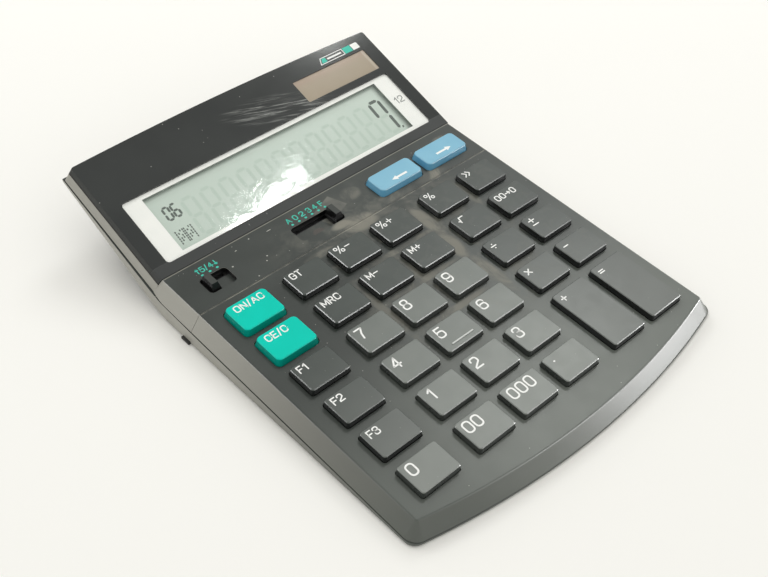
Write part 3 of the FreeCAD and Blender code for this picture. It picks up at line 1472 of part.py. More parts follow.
failed = [item.Name for item in doc.Objects if "Invalid" in item.State or "Error" in item.State]
if failed:
    raise SystemExit("Failed objects: " + ", ".join(failed))
os.makedirs("parts", exist_ok=True)
for item in sub_parts:
    shape = item.Shape
    if shape.isNull() or not shape.isValid() or not shape.Solids:
        raise SystemExit("Bad shape: " + item.Label)
for item in sub_parts:
    item.Shape.exportStep("parts/" + item.Label + ".step")
print(len(sub_parts), "sub-parts written")
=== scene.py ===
import json
import math
import bmesh
import bpy
from mathutils import Matrix, Vector

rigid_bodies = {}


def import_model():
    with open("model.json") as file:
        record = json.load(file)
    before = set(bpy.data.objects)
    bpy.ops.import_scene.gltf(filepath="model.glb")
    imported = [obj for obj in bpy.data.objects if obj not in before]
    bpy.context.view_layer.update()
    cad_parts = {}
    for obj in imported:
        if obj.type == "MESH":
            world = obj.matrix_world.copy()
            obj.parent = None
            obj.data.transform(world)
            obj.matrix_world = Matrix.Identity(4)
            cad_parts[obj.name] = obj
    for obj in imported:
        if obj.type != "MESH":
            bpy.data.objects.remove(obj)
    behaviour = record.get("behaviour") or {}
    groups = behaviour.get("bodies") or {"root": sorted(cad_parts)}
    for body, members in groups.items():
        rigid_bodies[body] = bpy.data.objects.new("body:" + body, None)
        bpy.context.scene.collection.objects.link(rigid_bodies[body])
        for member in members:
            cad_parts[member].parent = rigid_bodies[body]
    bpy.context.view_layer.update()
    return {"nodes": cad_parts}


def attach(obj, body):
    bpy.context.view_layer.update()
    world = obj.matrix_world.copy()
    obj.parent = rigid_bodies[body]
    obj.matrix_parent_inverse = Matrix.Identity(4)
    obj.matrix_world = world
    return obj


for leftover in list(bpy.data.objects):
    bpy.data.objects.remove(leftover)

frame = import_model()

mm = 0.001  # one millimetre in Blender's metres


# Planes of the case, so that a print is placed by its millimetres on the deck or on the display panel

plane = {
    "deckHeight": 11.587,  # deck origin above the table
    "deckRear": 13.505,  # deck origin behind the middle of the case
    "deckTilt": 2.65,  # degrees from the table
    "displayStart": 26.1,  # where the display panel starts, along the deck
    "displayTilt": 18.75,  # degrees from the table
}

deckTurn = Matrix.Rotation(math.radians(plane["deckTilt"]), 4, "X")
deckPlace = Matrix.Translation(Vector((0, plane["deckRear"], plane["deckHeight"])) * mm) @ deckTurn
displayStart = deckPlace @ Vector((0, plane["displayStart"] * mm, 0))
displayTurn = Matrix.Rotation(math.radians(plane["displayTilt"]), 4, "X")
displayPlace = Matrix.Translation(displayStart) @ displayTurn
onDeck = (tuple(deckPlace.translation), plane["deckTilt"])
onDisplay = (tuple(displayPlace.translation), plane["displayTilt"])


# Shader maths

class Wire:
    # one output of a material's node, so that masks are written as sums
    def __init__(self, finish, socket):
        self.finish = finish
        self.socket = socket

    def maths(self, operation, first, second=None):
        values = {0: first} if second is None else {0: first, 1: second}
        return self.finish.node("ShaderNodeMath", {"operation": operation}, values)

    def __add__(self, other):
        return self.maths("ADD", self, other)

    def __radd__(self, other):
        return self.maths("ADD", other, self)

    def __sub__(self, other):
        return self.maths("SUBTRACT", self, other)

    def __rsub__(self, other):
        return self.maths("SUBTRACT", other, self)

    def __mul__(self, other):
        return self.maths("MULTIPLY", self, other)

    def __rmul__(self, other):
        return self.maths("MULTIPLY", other, self)

    def __truediv__(self, other):
        return self.maths("DIVIDE", self, other)

    def __abs__(self):
        return self.maths("ABSOLUTE", self)

    def least(self, other):
        return self.maths("MINIMUM", self, other)

    def most(self, other):
        return self.maths("MAXIMUM", self, other)

    def step(self, low, high):
        # 0 below low, 1 above high and smooth between them; low may be the larger
        return self.finish.node(
            "ShaderNodeMapRange",
            {"interpolation_type": "SMOOTHSTEP", "clamp": True},
            {"Value": self, "From Min": low, "From Max": high},
        )


class Finish:
    # one material and its nodes
    def __init__(self, name):
        self.material = bpy.data.materials.new(name)
        self.material.use_nodes = True
        self.tree = self.material.node_tree
        self.tree.nodes.clear()
        self.place = self.node("ShaderNodeTexCoord", out="Object")

    def node(self, kind, settings=None, values=None, out=0):
        made = self.tree.nodes.new(kind)
        for key, value in (settings or {}).items():
            setattr(made, key, value)
        for key, value in (values or {}).items():
            if isinstance(value, Wire):
                self.tree.links.new(value.socket, made.inputs[key])
            else:
                made.inputs[key].default_value = value
        return Wire(self, made.outputs[out])

    def noise(self, size, detail=3.0, rough=0.5, distortion=0.0, place=None):
        # size is that of a typical blotch, in millimetres
        values = {"Vector": place or self.place, "Scale": 1 / (size * mm), "Detail": detail}
        values |= {"Roughness": rough, "Distortion": distortion}
        return self.node("ShaderNodeTexNoise", {}, values, "Fac")

    def cells(self, size):
        # how far the nearest of the scattered points is, as a share of their spacing in millimetres
        values = {"Vector": self.place, "Scale": 1 / (size * mm)}
        return self.node("ShaderNodeTexVoronoi", {}, values, "Distance")

    def blend(self, factor, first, second):
        # colour that goes from first to second
        settings = {"data_type": "RGBA", "clamp_factor": True}
        return self.node("ShaderNodeMix", settings, {0: factor, 6: first, 7: second}, 2)

    def local(self, origin, tilt):
        # place on a tilted plane of the case: x across, y up the slope, z off the surface
        values = {"Vector": self.place, "Location": origin, "Rotation": (math.radians(tilt), 0, 0)}
        return self.node("ShaderNodeMapping", {"vector_type": "TEXTURE"}, values)

    def stretched(self, place, turn, scale):
        values = {"Vector": place, "Rotation": (0, 0, math.radians(turn))}
        turned = self.node("ShaderNodeMapping", {"vector_type": "POINT"}, values)
        return self.node("ShaderNodeVectorMath", {"operation": "MULTIPLY"}, {0: turned, 1: scale})

    def parts(self, place):
        made = self.tree.nodes.new("ShaderNodeSeparateXYZ")
        self.tree.links.new(place.socket, made.inputs[0])
        return [Wire(self, output) for output in made.outputs]

    def measures(self, place):
        # millimetres across, up the slope and off the surface
        return [part / mm for part in self.parts(place)]

    def spot(self, across, along, x, y, wide, tall, solid=0.55):
        # 1 inside a soft-edged ellipse, solid up to that share
        offAcross = (across - x) / wide
        offAlong = (along - y) / tall
        return (offAcross * offAcross + offAlong * offAlong).step(1.0, solid)

    def plate(self, across, along, x, y, wide, tall, turn):
        # 1 inside a turned rectangle
        cosine = math.cos(math.radians(turn))
        sine = math.sin(math.radians(turn))
        offAcross = across - x
        offAlong = along - y
        one = abs((offAcross * cosine + offAlong * sine) / wide)
        other = abs((offAlong * cosine - offAcross * sine) / tall)
        return one.most(other).step(1.0, 0.9)

    def facing(self):
        # how much the surface looks up, from the shape alone
        normal = self.node("ShaderNodeNewGeometry", out="True Normal")
        return self.parts(normal)[2]

    def bump(self, height, strength, distance):
        values = {"Height": height, "Strength": strength, "Distance": distance * mm}
        return self.node("ShaderNodeBump", {}, values)

    def surface(self, shader):
        output = self.tree.nodes.new("ShaderNodeOutputMaterial")
        self.tree.links.new(shader.socket, output.inputs["Surface"])
        return self.material

    def plastic(self, colour, roughness, normal=None, fixed=None):
        values = {"Base Color": colour, "Roughness": roughness}
        if normal:
            values["Normal"] = normal
        values |= fixed or {}
        return self.surface(self.node("ShaderNodeBsdfPrincipled", {}, values))


def tint(red, green, blue):
    # a colour as a picture shows it, 0 to 255, as the shader wants it
    made = []
    for part in (red, green, blue):
        share = part / 255
        made.append(share / 12.92 if share <= 0.04045 else ((share + 0.055) / 1.055) ** 2.4)
    return (*made, 1)


# Materials. Places and sizes in them are millimetres on the deck or on the display panel

case = {
    "colour": tint(41, 47, 43),
    "light": tint(57, 63, 59),
    # painted light on the side walls, paler towards the rear
    "side": tint(160, 159, 151),
    "front": tint(94, 99, 93),
    "dust": tint(140, 137, 124),
    # painted highlight along the seam edges
    "seam": tint(178, 174, 160),
    "speck": tint(196, 196, 188),
    "tape": tint(122, 121, 112),
    "smudge": tint(84, 72, 66),
    # painted shade in the switch wells
    "well": tint(6, 7, 7),
    "rough": 0.35,
    "frontFade": (-25, -92),  # painted sheen: the deck grows paler from the first line to the second
    "leftSheenFade": (-62, -20),  # and less so to the left of this
    "sideLightFade": (-115, 20),  # painted light: the sides grow paler towards the rear, as if lit from there
    "coverSeamHighlight": 25.72,  # painted highlight along the seam under the display panel
    "deckSeamHighlight": 5.25,  # painted highlight along the seam behind the keys
    "scrap": (-1.0, 17.4, 5.6, 4.2, 22),  # piece of tape: place, half size and turn
    "stain": (-10.5, 12.3, 2.6, 2.0),  # place and half size
}

# the two switch wells, whose walls and rear strip are painted near-black as shade
wells = {
    "across": -29,
    "along": 14.3,
    "halfWide": 30,
    "halfTall": 4.2,
    "rearStrip": 15.7,
    "lowest": -6,
}

# thin film of dust round the middle keys: its centre, how far it is whole, and where it ends
film = {"centre": (8, -20), "whole": (20, 22), "end": 50, "amount": 0.35}

# thicker dust on the deck: place, half size and how thick
dustSpots = [
    (3, 5, 9, 5, 0.55), (-2, 8.5, 7, 2.4, 0.6), (21.5, -9, 3.4, 12, 0.5), (20, 9, 6, 4, 0.5),
    (40, 8, 9, 3, 0.6),
    (6, -13.5, 18, 1.8, 0.45), (20, -24, 4, 9, 0.5), (21, -42, 3, 13, 0.45), (0, -29.6, 19, 1.8, 0.4),
    (0, -45.8, 19, 1.8, 0.4), (-19.5, -34, 2.2, 22, 0.3), (-19, 2, 8, 2, 0.35), (0.2, -22, 2, 10, 0.35),
    (43.5, -8, 2.4, 9, 0.3), (57, 20, 6, 3, 0.3), (10, 19, 5, 4, 0.3),
]

# chips in the deck's paint: place and half size
marks = [
    (-25, 22.5, 1.1, 0.2), (-33, 23.5, 0.3, 0.3), (-40, 21.6, 0.5, 0.2), (-33.2, 13, 0.35, 0.3),
    (-34.7, 11.2, 0.3, 0.3), (-41.2, 7.2, 0.3, 0.25), (-45.4, 16.2, 0.4, 0.35),
]


def dustMask(finish, across, along, blotch, torn):
    centreX, centreY = film["centre"]
    wide, tall = film["whole"]
    middle = abs(across - centreX).step(film["end"], wide) * abs(along - centreY).step(film["end"], tall)
    dusty = blotch.step(0.4, 0.75) * middle * film["amount"]
    thick = 0.3 + torn.step(0.4, 0.6)
    for x, y, wide, tall, amount in dustSpots:
        dusty = dusty.most(finish.spot(across, along, x, y, wide, tall, 0.2) * amount * thick)
    return dusty


def wellMask(across, along, height, top):
    deep = height.step(-0.05, -0.3) * height.step(wells["lowest"] - 1, wells["lowest"])
    deep = deep * abs(along - wells["along"]).step(wells["halfTall"], wells["halfTall"] - 0.1)
    deep = deep * abs(across - wells["across"]).step(wells["halfWide"], wells["halfWide"] - 0.2)
    shaded = (1 - top).most(along.step(wells["rearStrip"], wells["rearStrip"] + 0.4))
    return deep * shaded


def caseFinish():
    finish = Finish("casePlastic")
    across, along, height = finish.measures(finish.local(*onDeck))
    up = finish.facing()
    top = up.step(0.9, 0.97)
    broad = finish.noise(26, 2.0)
    blotch = finish.noise(7, 5.0, 0.62, 0.5)
    torn = finish.noise(12, 6.0, 0.6, 0.8)
    colour = finish.blend(broad.step(0.35, 0.7) * 0.6, case["colour"], case["light"])
    # painted sheen: the deck paler towards the front
    paintedSheen = along.step(*case["frontFade"]) * (0.6 + 0.4 * across.step(*case["leftSheenFade"]))
    colour = finish.blend(paintedSheen, colour, case["front"])
    # painted light: the side walls paler towards the rear
    sides = up.step(0.85, 0.6) * up.step(-0.7, -0.5) * along.step(*case["sideLightFade"])
    colour = finish.blend(sides, colour, case["side"])
    dusty = (dustMask(finish, across, along, blotch, torn) * top).least(0.8)
    colour = finish.blend(dusty, colour, case["dust"])
    tape = finish.plate(across, along, *case["scrap"]) * torn.step(0.3, 0.7) * 0.7
    colour = finish.blend(tape * top, colour, case["tape"])
    stain = finish.spot(across, along, *case["stain"]) * 0.5
    colour = finish.blend(stain * top, colour, case["smudge"])
    # painted highlight along the two seams
    seam = abs(along - case["coverSeamHighlight"]).step(0.26, 0.1) * (0.2 + 0.4 * blotch)
    seam = seam.most(abs(along - case["deckSeamHighlight"]).step(0.22, 0.1) * blotch.step(0.35, 0.65) * 0.5)
    colour = finish.blend(seam * top, colour, case["seam"])
    # painted shade on the walls and rear strip of the switch wells
    colour = finish.blend(wellMask(across, along, height, top), colour, case["well"])
    chips = finish.cells(3.4).step(0.05, 0.03)
    for mark in marks:
        chips = chips.most(finish.spot(across, along, *mark))
    colour = finish.blend(chips * top * 0.7, colour, case["speck"])
    rough = case["rough"] + 0.1 * (blotch - 0.5) + 0.16 * dusty
    grain = finish.noise(0.45, 2.0) * 0.6 + finish.noise(0.16, 1.0) * 0.4
    return finish.plastic(colour, rough, finish.bump(grain, 0.25, 0.05))


panel = {
    "colour": tint(34, 38, 37),
    "light": tint(48, 52, 50),
    "smear": tint(150, 152, 146),
    "speck": tint(200, 200, 192),
    "seam": tint(6, 6, 6),
    "rough": 0.1,
    "smearSpot": (14, 38, 27, 8),  # greasy wipe marks: place and half size
    "smearSlope": 0.3,  # how much their area falls to the right
    "smearTurn": 17,  # degrees that the marks are turned by
    "seamDepth": -1.55,  # the foot of the panel's edge lies in a dark seam
    "frontStrip": 4.4,  # in front of this the panel is dull
}


def panelFinish():
    finish = Finish("panelPlastic")
    place = finish.local(*onDisplay)
    across, along, height = finish.measures(place)
    wiped = finish.stretched(place, panel["smearTurn"], (0.5, 9, 1))
    streak = finish.noise(11, 5.0, 0.6, 0.4, wiped)
    finer = finish.noise(4, 4.0, 0.6, 0.3, wiped)
    falling = along + panel["smearSlope"] * (across - panel["smearSpot"][0])
    near = finish.spot(across, falling, *panel["smearSpot"], 0.1)
    smear = streak.step(0.44, 0.7) * finer.step(0.35, 0.7) * near
    colour = finish.blend(finish.noise(30, 3.0).step(0.3, 0.7) * 0.6, panel["colour"], panel["light"])
    colour = finish.blend(smear * 0.8, colour, panel["smear"])
    colour = finish.blend(finish.cells(5.0).step(0.05, 0.028) * 0.5, colour, panel["speck"])
    foot = height.step(panel["seamDepth"], panel["seamDepth"] - 0.2)
    colour = finish.blend(foot, colour, panel["seam"])
    rough = panel["rough"] + smear * 0.25 + 0.03 * (finish.noise(12, 4.0) - 0.5)
    rough = rough + 0.4 * along.step(panel["frontStrip"] + 0.8, panel["frontStrip"])
    return finish.plastic(colour, rough, finish.bump(finish.noise(0.4, 2.0), 0.05, 0.04))


keyKinds = {
    "keyDark": {
        "colour": tint(55, 62, 58),
        "light": tint(63, 70, 66),
        "wall": tint(30, 33, 32),
        "rough": 0.34,
        "dust": 0.05,
        "gloss": 0.5,
    },
    "keyGrey": {
        "colour": tint(100, 106, 101),
        "light": tint(110, 115, 110),
        "wall": tint(58, 62, 59),
        "rough": 0.36,
        "dust": 0.07,
        "gloss": 0.5,
    },
    "keyGreen": {
        "colour": tint(0, 204, 183),
        "light": tint(0, 210, 190),
        "wall": tint(0, 150, 134),
        "rough": 0.36,
        "dust": 0.0,
        "gloss": 0.1,
    },
    "keyBlue": {
        "colour": tint(128, 184, 208),
        "light": tint(138, 192, 214),
        "wall": tint(104, 170, 204),
        "rough": 0.34,
        "dust": 0.0,
        "gloss": 0.3,
    },
}
keyWear = {
    "dust": tint(150, 147, 134),
    "dustFrom": ((-24, 12), (-76, -50)),  # it grows to the right and to the rear
    "speck": tint(205, 204, 196),
    # painted sheen towards the front keys
    "front": tint(158, 161, 156),
    "frontFade": (-25, -95),
    # painted shade on the keys towards the right
    "rightKeysShade": (30, 45),
    # painted highlight on the bar of key 5
    "bar": tint(196, 200, 196),
    "barFrom": 2.42,  # height above the deck at which the bar of key 5 starts
}


def keyFinish(name):
    # one moulded key colour: its walls are painted darker than the handled top, as shade
    kind = keyKinds[name]
    finish = Finish(name)
    across, along, height = finish.measures(finish.local(*onDeck))
    up = finish.facing()
    grease = finish.noise(5, 4.0, 0.6, 0.8)
    made = finish.blend(finish.noise(11, 2.0).step(0.35, 0.7) * 0.6, kind["colour"], kind["light"])
    acrossFrom, alongFrom = keyWear["dustFrom"]
    worn = grease.step(0.46, 0.66) * across.step(*acrossFrom) * along.step(*alongFrom)
    made = finish.blend(worn * kind["dust"], made, keyWear["dust"])
    made = finish.blend(finish.cells(2.6).step(0.045, 0.03) * 0.45, made, keyWear["speck"])
    # painted sheen: keys paler towards the front
    made = finish.blend(along.step(*keyWear["frontFade"]) * 0.3, made, keyWear["front"])
    # painted shade: keys towards the right made darker
    made = finish.blend(across.step(*keyWear["rightKeysShade"]) * 0.12, made, kind["wall"])
    # painted shade on the walls of the key
    made = finish.blend(up.step(0.5, 0.3), made, kind["wall"])
    if name == "keyGrey":
        # painted highlight on the raised bar of key 5
        bar = height.step(keyWear["barFrom"], keyWear["barFrom"] + 0.06)
        made = finish.blend(bar, made, keyWear["bar"])
    rough = kind["rough"] + 0.12 * (grease - 0.5) - 0.08 * up.step(0.9, 0.75)
    grain = finish.bump(finish.noise(0.3, 2.0), 0.1, 0.03)
    return finish.plastic(made, rough, grain, {"Specular IOR Level": kind["gloss"]})


def plainFinish(name, colour, other, rough, grain=0.5, strength=0.15, size=8, fixed=None):
    # a small inner or lesser part: two shades of one colour, with a fine grain
    finish = Finish(name)
    made = finish.blend(finish.noise(size, 4.0, 0.6, 0.4).step(0.35, 0.7), colour, other)
    roughness = rough + 0.16 * (finish.noise(size * 0.6, 3.0) - 0.5)
    return finish.plastic(made, roughness, finish.bump(finish.noise(grain, 2.0), strength, 0.04), fixed)


window = {
    "clear": (0.99, 0.995, 0.985, 1),
    "bend": 1.49,
    "mirror": 1.2,  # how much stronger than plain acrylic it reflects
    "rough": 0.04,
    "smearTurn": 16,
    "swell": 0.2,  # how wavy its face is
}


def windowFinish():
    # thin clear acrylic: seen through, with a mirror part that grows at a slant
    finish = Finish("windowAcrylic")
    place = finish.local(*onDisplay)
    wiped = finish.stretched(place, window["smearTurn"], (1, 7, 1))
    cloud = finish.noise(9, 5.0, 0.6, 0.8, place)
    smudge = finish.noise(7, 6.0, 0.65, 0.4, wiped).step(0.5, 0.72) * cloud.step(0.4, 0.65)
    values = {
        "Base Color": (1, 1, 1, 1),
        "Metallic": 1.0,
        "Roughness": window["rough"] + 0.05 * cloud + 0.2 * smudge,
        "Normal": finish.bump(finish.noise(9, 3.0, 0.5, 0.6), window["swell"], 0.3),
    }
    mirror = finish.node("ShaderNodeBsdfPrincipled", {}, values)
    clear = finish.node("ShaderNodeBsdfTransparent", {}, {"Color": window["clear"]})
    outside = 1 - finish.node("ShaderNodeNewGeometry", out="Backfacing")
    fresnel = finish.node("ShaderNodeFresnel", {}, {"IOR": window["bend"]})
    factor = (fresnel * window["mirror"] + smudge * 0.03).least(0.9) * outside
    return finish.surface(finish.node("ShaderNodeMixShader", {}, {0: factor, 1: clear, 2: mirror}))


# the ridge's lighter colour is a painted highlight
knob = {"colour": tint(16, 17, 17), "light": tint(24, 24, 24), "ridgeHighlight": tint(74, 78, 75), "gloss": 0.25}


def knobFinish():
    # glossy black, with a painted highlight on the flat top of its ridge above the deck
    finish = Finish("knobPlastic")
    height = finish.measures(finish.local(*onDeck))[2]
    ridgeHighlight = finish.facing().step(0.9, 0.98) * height.step(0.2, 0.4)
    made = finish.blend(finish.noise(3, 4.0, 0.6, 0.4), knob["colour"], knob["light"])
    made = finish.blend(ridgeHighlight * 0.8, made, knob["ridgeHighlight"])
    rough = 0.2 + 0.05 * finish.noise(0.6, 3.0)
    return finish.plastic(made, rough, None, {"Specular IOR Level": knob["gloss"]})


whiteFrame = {
    "colour": tint(254, 253, 252),
    "other": tint(249, 249, 248),
    "shade": tint(128, 138, 131),
    "shadeFrom": -0.72,  # depth at which its narrow inner walls start
}


def frameFinish():
    # the inner walls, down to the crystal, stay in the shade
    finish = Finish("frameWhite")
    height = finish.measures(finish.local(*onDisplay))[2]
    patchy = finish.noise(14, 4.0, 0.6, 0.4).step(0.35, 0.7)
    made = finish.blend(patchy, whiteFrame["colour"], whiteFrame["other"])
    inner = height.step(whiteFrame["shadeFrom"], whiteFrame["shadeFrom"] - 0.08)
    made = finish.blend(inner, made, whiteFrame["shade"])
    return finish.plastic(made, 0.42, finish.bump(finish.noise(0.4, 2.0), 0.06, 0.04))


sheet = {
    "colour": tint(196, 211, 203),
    "other": tint(204, 216, 209),
    "shade": tint(96, 106, 100),
    "rightShade": (51.2, 54.6),
    "rearShade": (28.8, 30.8),
}


def displayFinish():
    # the crystal's grey-green sheet, shaded under the rear and right edges of its frame
    finish = Finish("displaySheet")
    across, along = finish.measures(finish.local(*onDisplay))[:2]
    made = finish.blend(finish.noise(22, 3.0), sheet["colour"], sheet["other"])
    shade = across.step(*sheet["rightShade"]).most(along.step(*sheet["rearShade"]))
    made = finish.blend(shade * 0.65, made, sheet["shade"])
    rough = 0.32 + 0.08 * finish.noise(6, 3.0)
    return finish.plastic(made, rough, finish.bump(finish.noise(0.5, 1.0), 0.04, 0.02))


solar = {
    "colour": tint(160, 147, 127),
    "other": tint(168, 155, 134),
    "rear": tint(172, 146, 130),
    "rearFade": (41, 46),
    "edge": tint(196, 186, 170),
    "edgeFrom": 59.7,  # pale strip at the right end of the cell
}


def solarFinish():
    finish = Finish("solarGlass")
    across, along = finish.measures(finish.local(*onDisplay))[:2]
    made = finish.blend(finish.noise(16, 3.0), solar["colour"], solar["other"])
    made = finish.blend(along.step(*solar["rearFade"]) * 0.5, made, solar["rear"])
    made = finish.blend(across.step(solar["edgeFrom"], solar["edgeFrom"] + 0.4) * 0.5, made, solar["edge"])
    return finish.plastic(made, 0.11 + 0.03 * finish.noise(4, 4.0))


def inkFinish(name, colour, worn, amount=0.25):
    finish = Finish(name)
    wear = finish.noise(0.8, 5.0, 0.7).step(0.58, 0.75) * amount
    made = finish.blend(wear, colour, worn)
    rough = 0.46 + 0.1 * finish.noise(1.5, 2.0)
    return finish.plastic(made, rough, finish.bump(finish.noise(0.25, 1.0), 0.06, 0.02))


metal = {"Metallic": 1.0}
steels = (tint(176, 176, 172), tint(158, 158, 152))
brasses = (tint(196, 170, 110), tint(170, 140, 84))
screwSteels = (tint(168, 166, 160), tint(140, 138, 132))

# plain finishes: two colours, roughness, size and strength of the grain, size of the blotches
finishes = {
    "case_plastic": caseFinish(),
    "panel_plastic": panelFinish(),
    "window_clear": windowFinish(),
    "frame_white": frameFinish(),
    "display_glass": displayFinish(),
    "solar_glass": solarFinish(),
    "soft_rubber": plainFinish("matRubber", tint(120, 122, 124), tint(106, 108, 110), 0.66),
    "foot_rubber": plainFinish("footRubber", tint(40, 40, 39), tint(54, 53, 50), 0.7, 0.3, 0.3, 3),
    "board_green": plainFinish("boardLacquer", tint(28, 92, 58), tint(36, 108, 70), 0.35, 1.2, 0.2),
    "ribbon_film": plainFinish("ribbonFilm", tint(206, 204, 196), tint(188, 186, 176), 0.4, 0.8, 0.1),
    "chip_resin": plainFinish("chipResin", tint(22, 22, 23), tint(34, 34, 35), 0.42, 0.6, 0.2),
    "cell_steel": plainFinish("cellSteel", *steels, 0.3, 0.2, 0.06, 4, metal),
    "contact_brass": plainFinish("contactBrass", *brasses, 0.32, 0.2, 0.06, 3, metal),
    "screw_steel": plainFinish("screwSteel", *screwSteels, 0.36, 0.15, 0.1, 1.5, metal),
    "knob_plastic": knobFinish(),
    "key_dark": keyFinish("keyDark"),
    "key_grey": keyFinish("keyGrey"),
    "key_green": keyFinish("keyGreen"),
    "key_blue": keyFinish("keyBlue"),
}
inkWhite = inkFinish("inkWhite", tint(244, 245, 242), tint(206, 207, 203))
inkTeal = inkFinish("inkTeal", tint(52, 196, 174), tint(34, 150, 132), 0.4)
inkGrey = inkFinish("inkGrey", tint(150, 152, 152), tint(184, 186, 184))
segmentInk = inkFinish("segmentInk", tint(78, 90, 84), tint(98, 110, 103))
ghostInk = inkFinish("ghostInk", tint(191, 207, 198), tint(196, 210, 202), 0.1)

for node in frame["nodes"].values():
    for slot in node.material_slots:
        slot.material = finishes[slot.material.name.split(".")[0]]
print("materials:", len(bpy.data.materials))


# Lettering, drawn as round-ended strokes. A glyph is a list of strokes on a cell one unit high:
# points (x, y) or (x, y, corner radius), with "ring" first where the stroke closes on itself. Some letters
# stand in for signs: x times, : divide, _ plus or minus, v root, ~ replay, > right, ^ up, ! down

glyphs = {
    "0": (0.65, [["ring", (0, 0, 0.32), (0.65, 0, 0.32), (0.65, 1, 0.32), (0, 1, 0.32)]]),
    "1": (0.34, [[(0.02, 0.74), (0.3, 1)], [(0.3, 1), (0.3, 0)]]),
    "2": (0.65, [[(0, 0.72), (0, 1, 0.27), (0.64, 1, 0.28), (0.64, 0.55, 0.16), (0.0, 0.13, 0.08), (0, 0),
                  (0.66, 0)]]),
    "3": (0.65, [[(0.01, 0.76), (0.01, 1, 0.24), (0.62, 1, 0.23), (0.62, 0.54, 0.22), (0.25, 0.54)],
                 [(0.25, 0.54), (0.65, 0.54, 0.25), (0.65, 0, 0.27), (0, 0, 0.27), (0, 0.24)]]),
    "4": (0.7, [[(0.5, 0), (0.5, 1)], [(0.5, 1), (0, 0.28)], [(0, 0.28), (0.7, 0.28)]]),
    "5": (0.65, [[(0.6, 1), (0.08, 1), (0.03, 0.5), (0.14, 0.62, 0.1), (0.65, 0.62, 0.27), (0.65, 0, 0.29),
                  (0, 0, 0.27), (0, 0.22)]]),
    "6": (0.65, [["ring", (0, 0, 0.28), (0.65, 0, 0.28), (0.65, 0.58, 0.28), (0, 0.58, 0.28)],
                 [(0, 0.32), (0, 1, 0.34), (0.62, 1, 0.25), (0.62, 0.8)]]),
    "7": (0.64, [[(0, 1), (0.64, 1)], [(0.64, 1), (0.34, 0.5, 0.3), (0.22, 0)]]),
    "8": (0.65, [["ring", (0.04, 0.53, 0.23), (0.61, 0.53, 0.23), (0.61, 1, 0.23), (0.04, 1, 0.23)],
                 ["ring", (0, 0, 0.26), (0.65, 0, 0.26), (0.65, 0.53, 0.26), (0, 0.53, 0.26)]]),
    "9": (0.65, [["ring", (0, 0.42, 0.28), (0.65, 0.42, 0.28), (0.65, 1, 0.28), (0, 1, 0.28)],
                 [(0.65, 0.68), (0.65, 0, 0.34), (0.03, 0, 0.25), (0.03, 0.2)]]),
    "A": (0.76, [[(0, 0), (0.38, 1)], [(0.38, 1), (0.76, 0)], [(0.13, 0.33), (0.63, 0.33)]]),
    "C": (0.68, [[(0.68, 0.74), (0.68, 1, 0.3), (0, 1, 0.32), (0, 0, 0.32), (0.68, 0, 0.3), (0.68, 0.26)]]),
    "E": (0.56, [[(0.56, 1), (0, 1), (0, 0), (0.56, 0)], [(0, 0.5), (0.5, 0.5)]]),
    "F": (0.56, [[(0.56, 1), (0, 1), (0, 0)], [(0, 0.5), (0.5, 0.5)]]),
    "G": (0.7, [[(0.68, 0.76), (0.68, 1, 0.3), (0, 1, 0.32), (0, 0, 0.32), (0.7, 0, 0.3), (0.7, 0.48),
                 (0.4, 0.48)]]),
    "M": (0.84, [[(0, 0), (0, 1)], [(0, 1), (0.42, 0.16)], [(0.42, 0.16), (0.84, 1)],
                 [(0.84, 1), (0.84, 0)]]),
    "N": (0.68, [[(0, 0), (0, 1)], [(0, 1), (0.68, 0)], [(0.68, 0), (0.68, 1)]]),
    "O": (0.72, [["ring", (0, 0, 0.33), (0.72, 0, 0.33), (0.72, 1, 0.33), (0, 1, 0.33)]]),
    "R": (0.66, [[(0, 0), (0, 1), (0.64, 1, 0.26), (0.64, 0.47, 0.24), (0, 0.47)],
                 [(0.36, 0.47), (0.66, 0)]]),
    "T": (0.66, [[(0, 1), (0.66, 1)], [(0.33, 1), (0.33, 0)]]),
    "/": (0.34, [[(0, -0.08), (0.34, 1.08)]]),
    ".": (0.06, [[(0, 0.45), (0.05, 0.45)]]),
    "+": (0.7, [[(0, 0.5), (0.7, 0.5)], [(0.35, 0.15), (0.35, 0.85)]]),
    "-": (0.66, [[(0, 0.5), (0.66, 0.5)]]),
    "=": (0.7, [[(0, 0.66), (0.7, 0.66)], [(0, 0.36), (0.7, 0.36)]]),
    "x": (0.64, [[(0, 0.18), (0.64, 0.82)], [(0, 0.82), (0.64, 0.18)]]),
    ":": (0.7, [[(0, 0.5), (0.7, 0.5)], [(0.33, 0.84), (0.37, 0.84)], [(0.33, 0.16), (0.37, 0.16)]]),
    "_": (0.66, [[(0, 0.7), (0.66, 0.7)], [(0.33, 0.44), (0.33, 0.96)], [(0, 0.08), (0.66, 0.08)]]),
    "v": (1.2, [[(0, 0.36), (0.13, 0.46)], [(0.13, 0.46), (0.28, 0)], [(0.28, 0), (0.46, 1), (1.2, 1)]]),
    "%": (1.04, [["ring", (0, 0.6, 0.18), (0.37, 0.6, 0.18), (0.37, 1, 0.18), (0, 1, 0.18)],
                 ["ring", (0.67, 0, 0.18), (1.04, 0, 0.18), (1.04, 0.4, 0.18), (0.67, 0.4, 0.18)],
                 [(0.26, -0.02), (0.78, 1.02)]]),
    ">": (0.8, [[(0, 0.5), (0.8, 0.5)], [(0.54, 0.76), (0.8, 0.5)], [(0.8, 0.5), (0.54, 0.24)]]),
    "^": (0.44, [[(0.22, 0), (0.22, 1)], [(0, 0.7), (0.22, 1)], [(0.22, 1), (0.44, 0.7)]]),
    "!": (0.44, [[(0.22, 0), (0.22, 1)], [(0, 0.3), (0.22, 0)], [(0.22, 0), (0.44, 0.3)]]),
    "~": (1.1, [[(0, 0.96), (0.46, 0.5)], [(0.46, 0.5), (0, 0.04)],
                [(0.62, 0.96), (1.08, 0.5)], [(1.08, 0.5), (0.62, 0.04)]]),
}

cornerParts = 6  # straight runs in a rounded corner
endParts = 8  # straight runs in a round end
sameSpot = 1e-6  # points nearer than this count as one


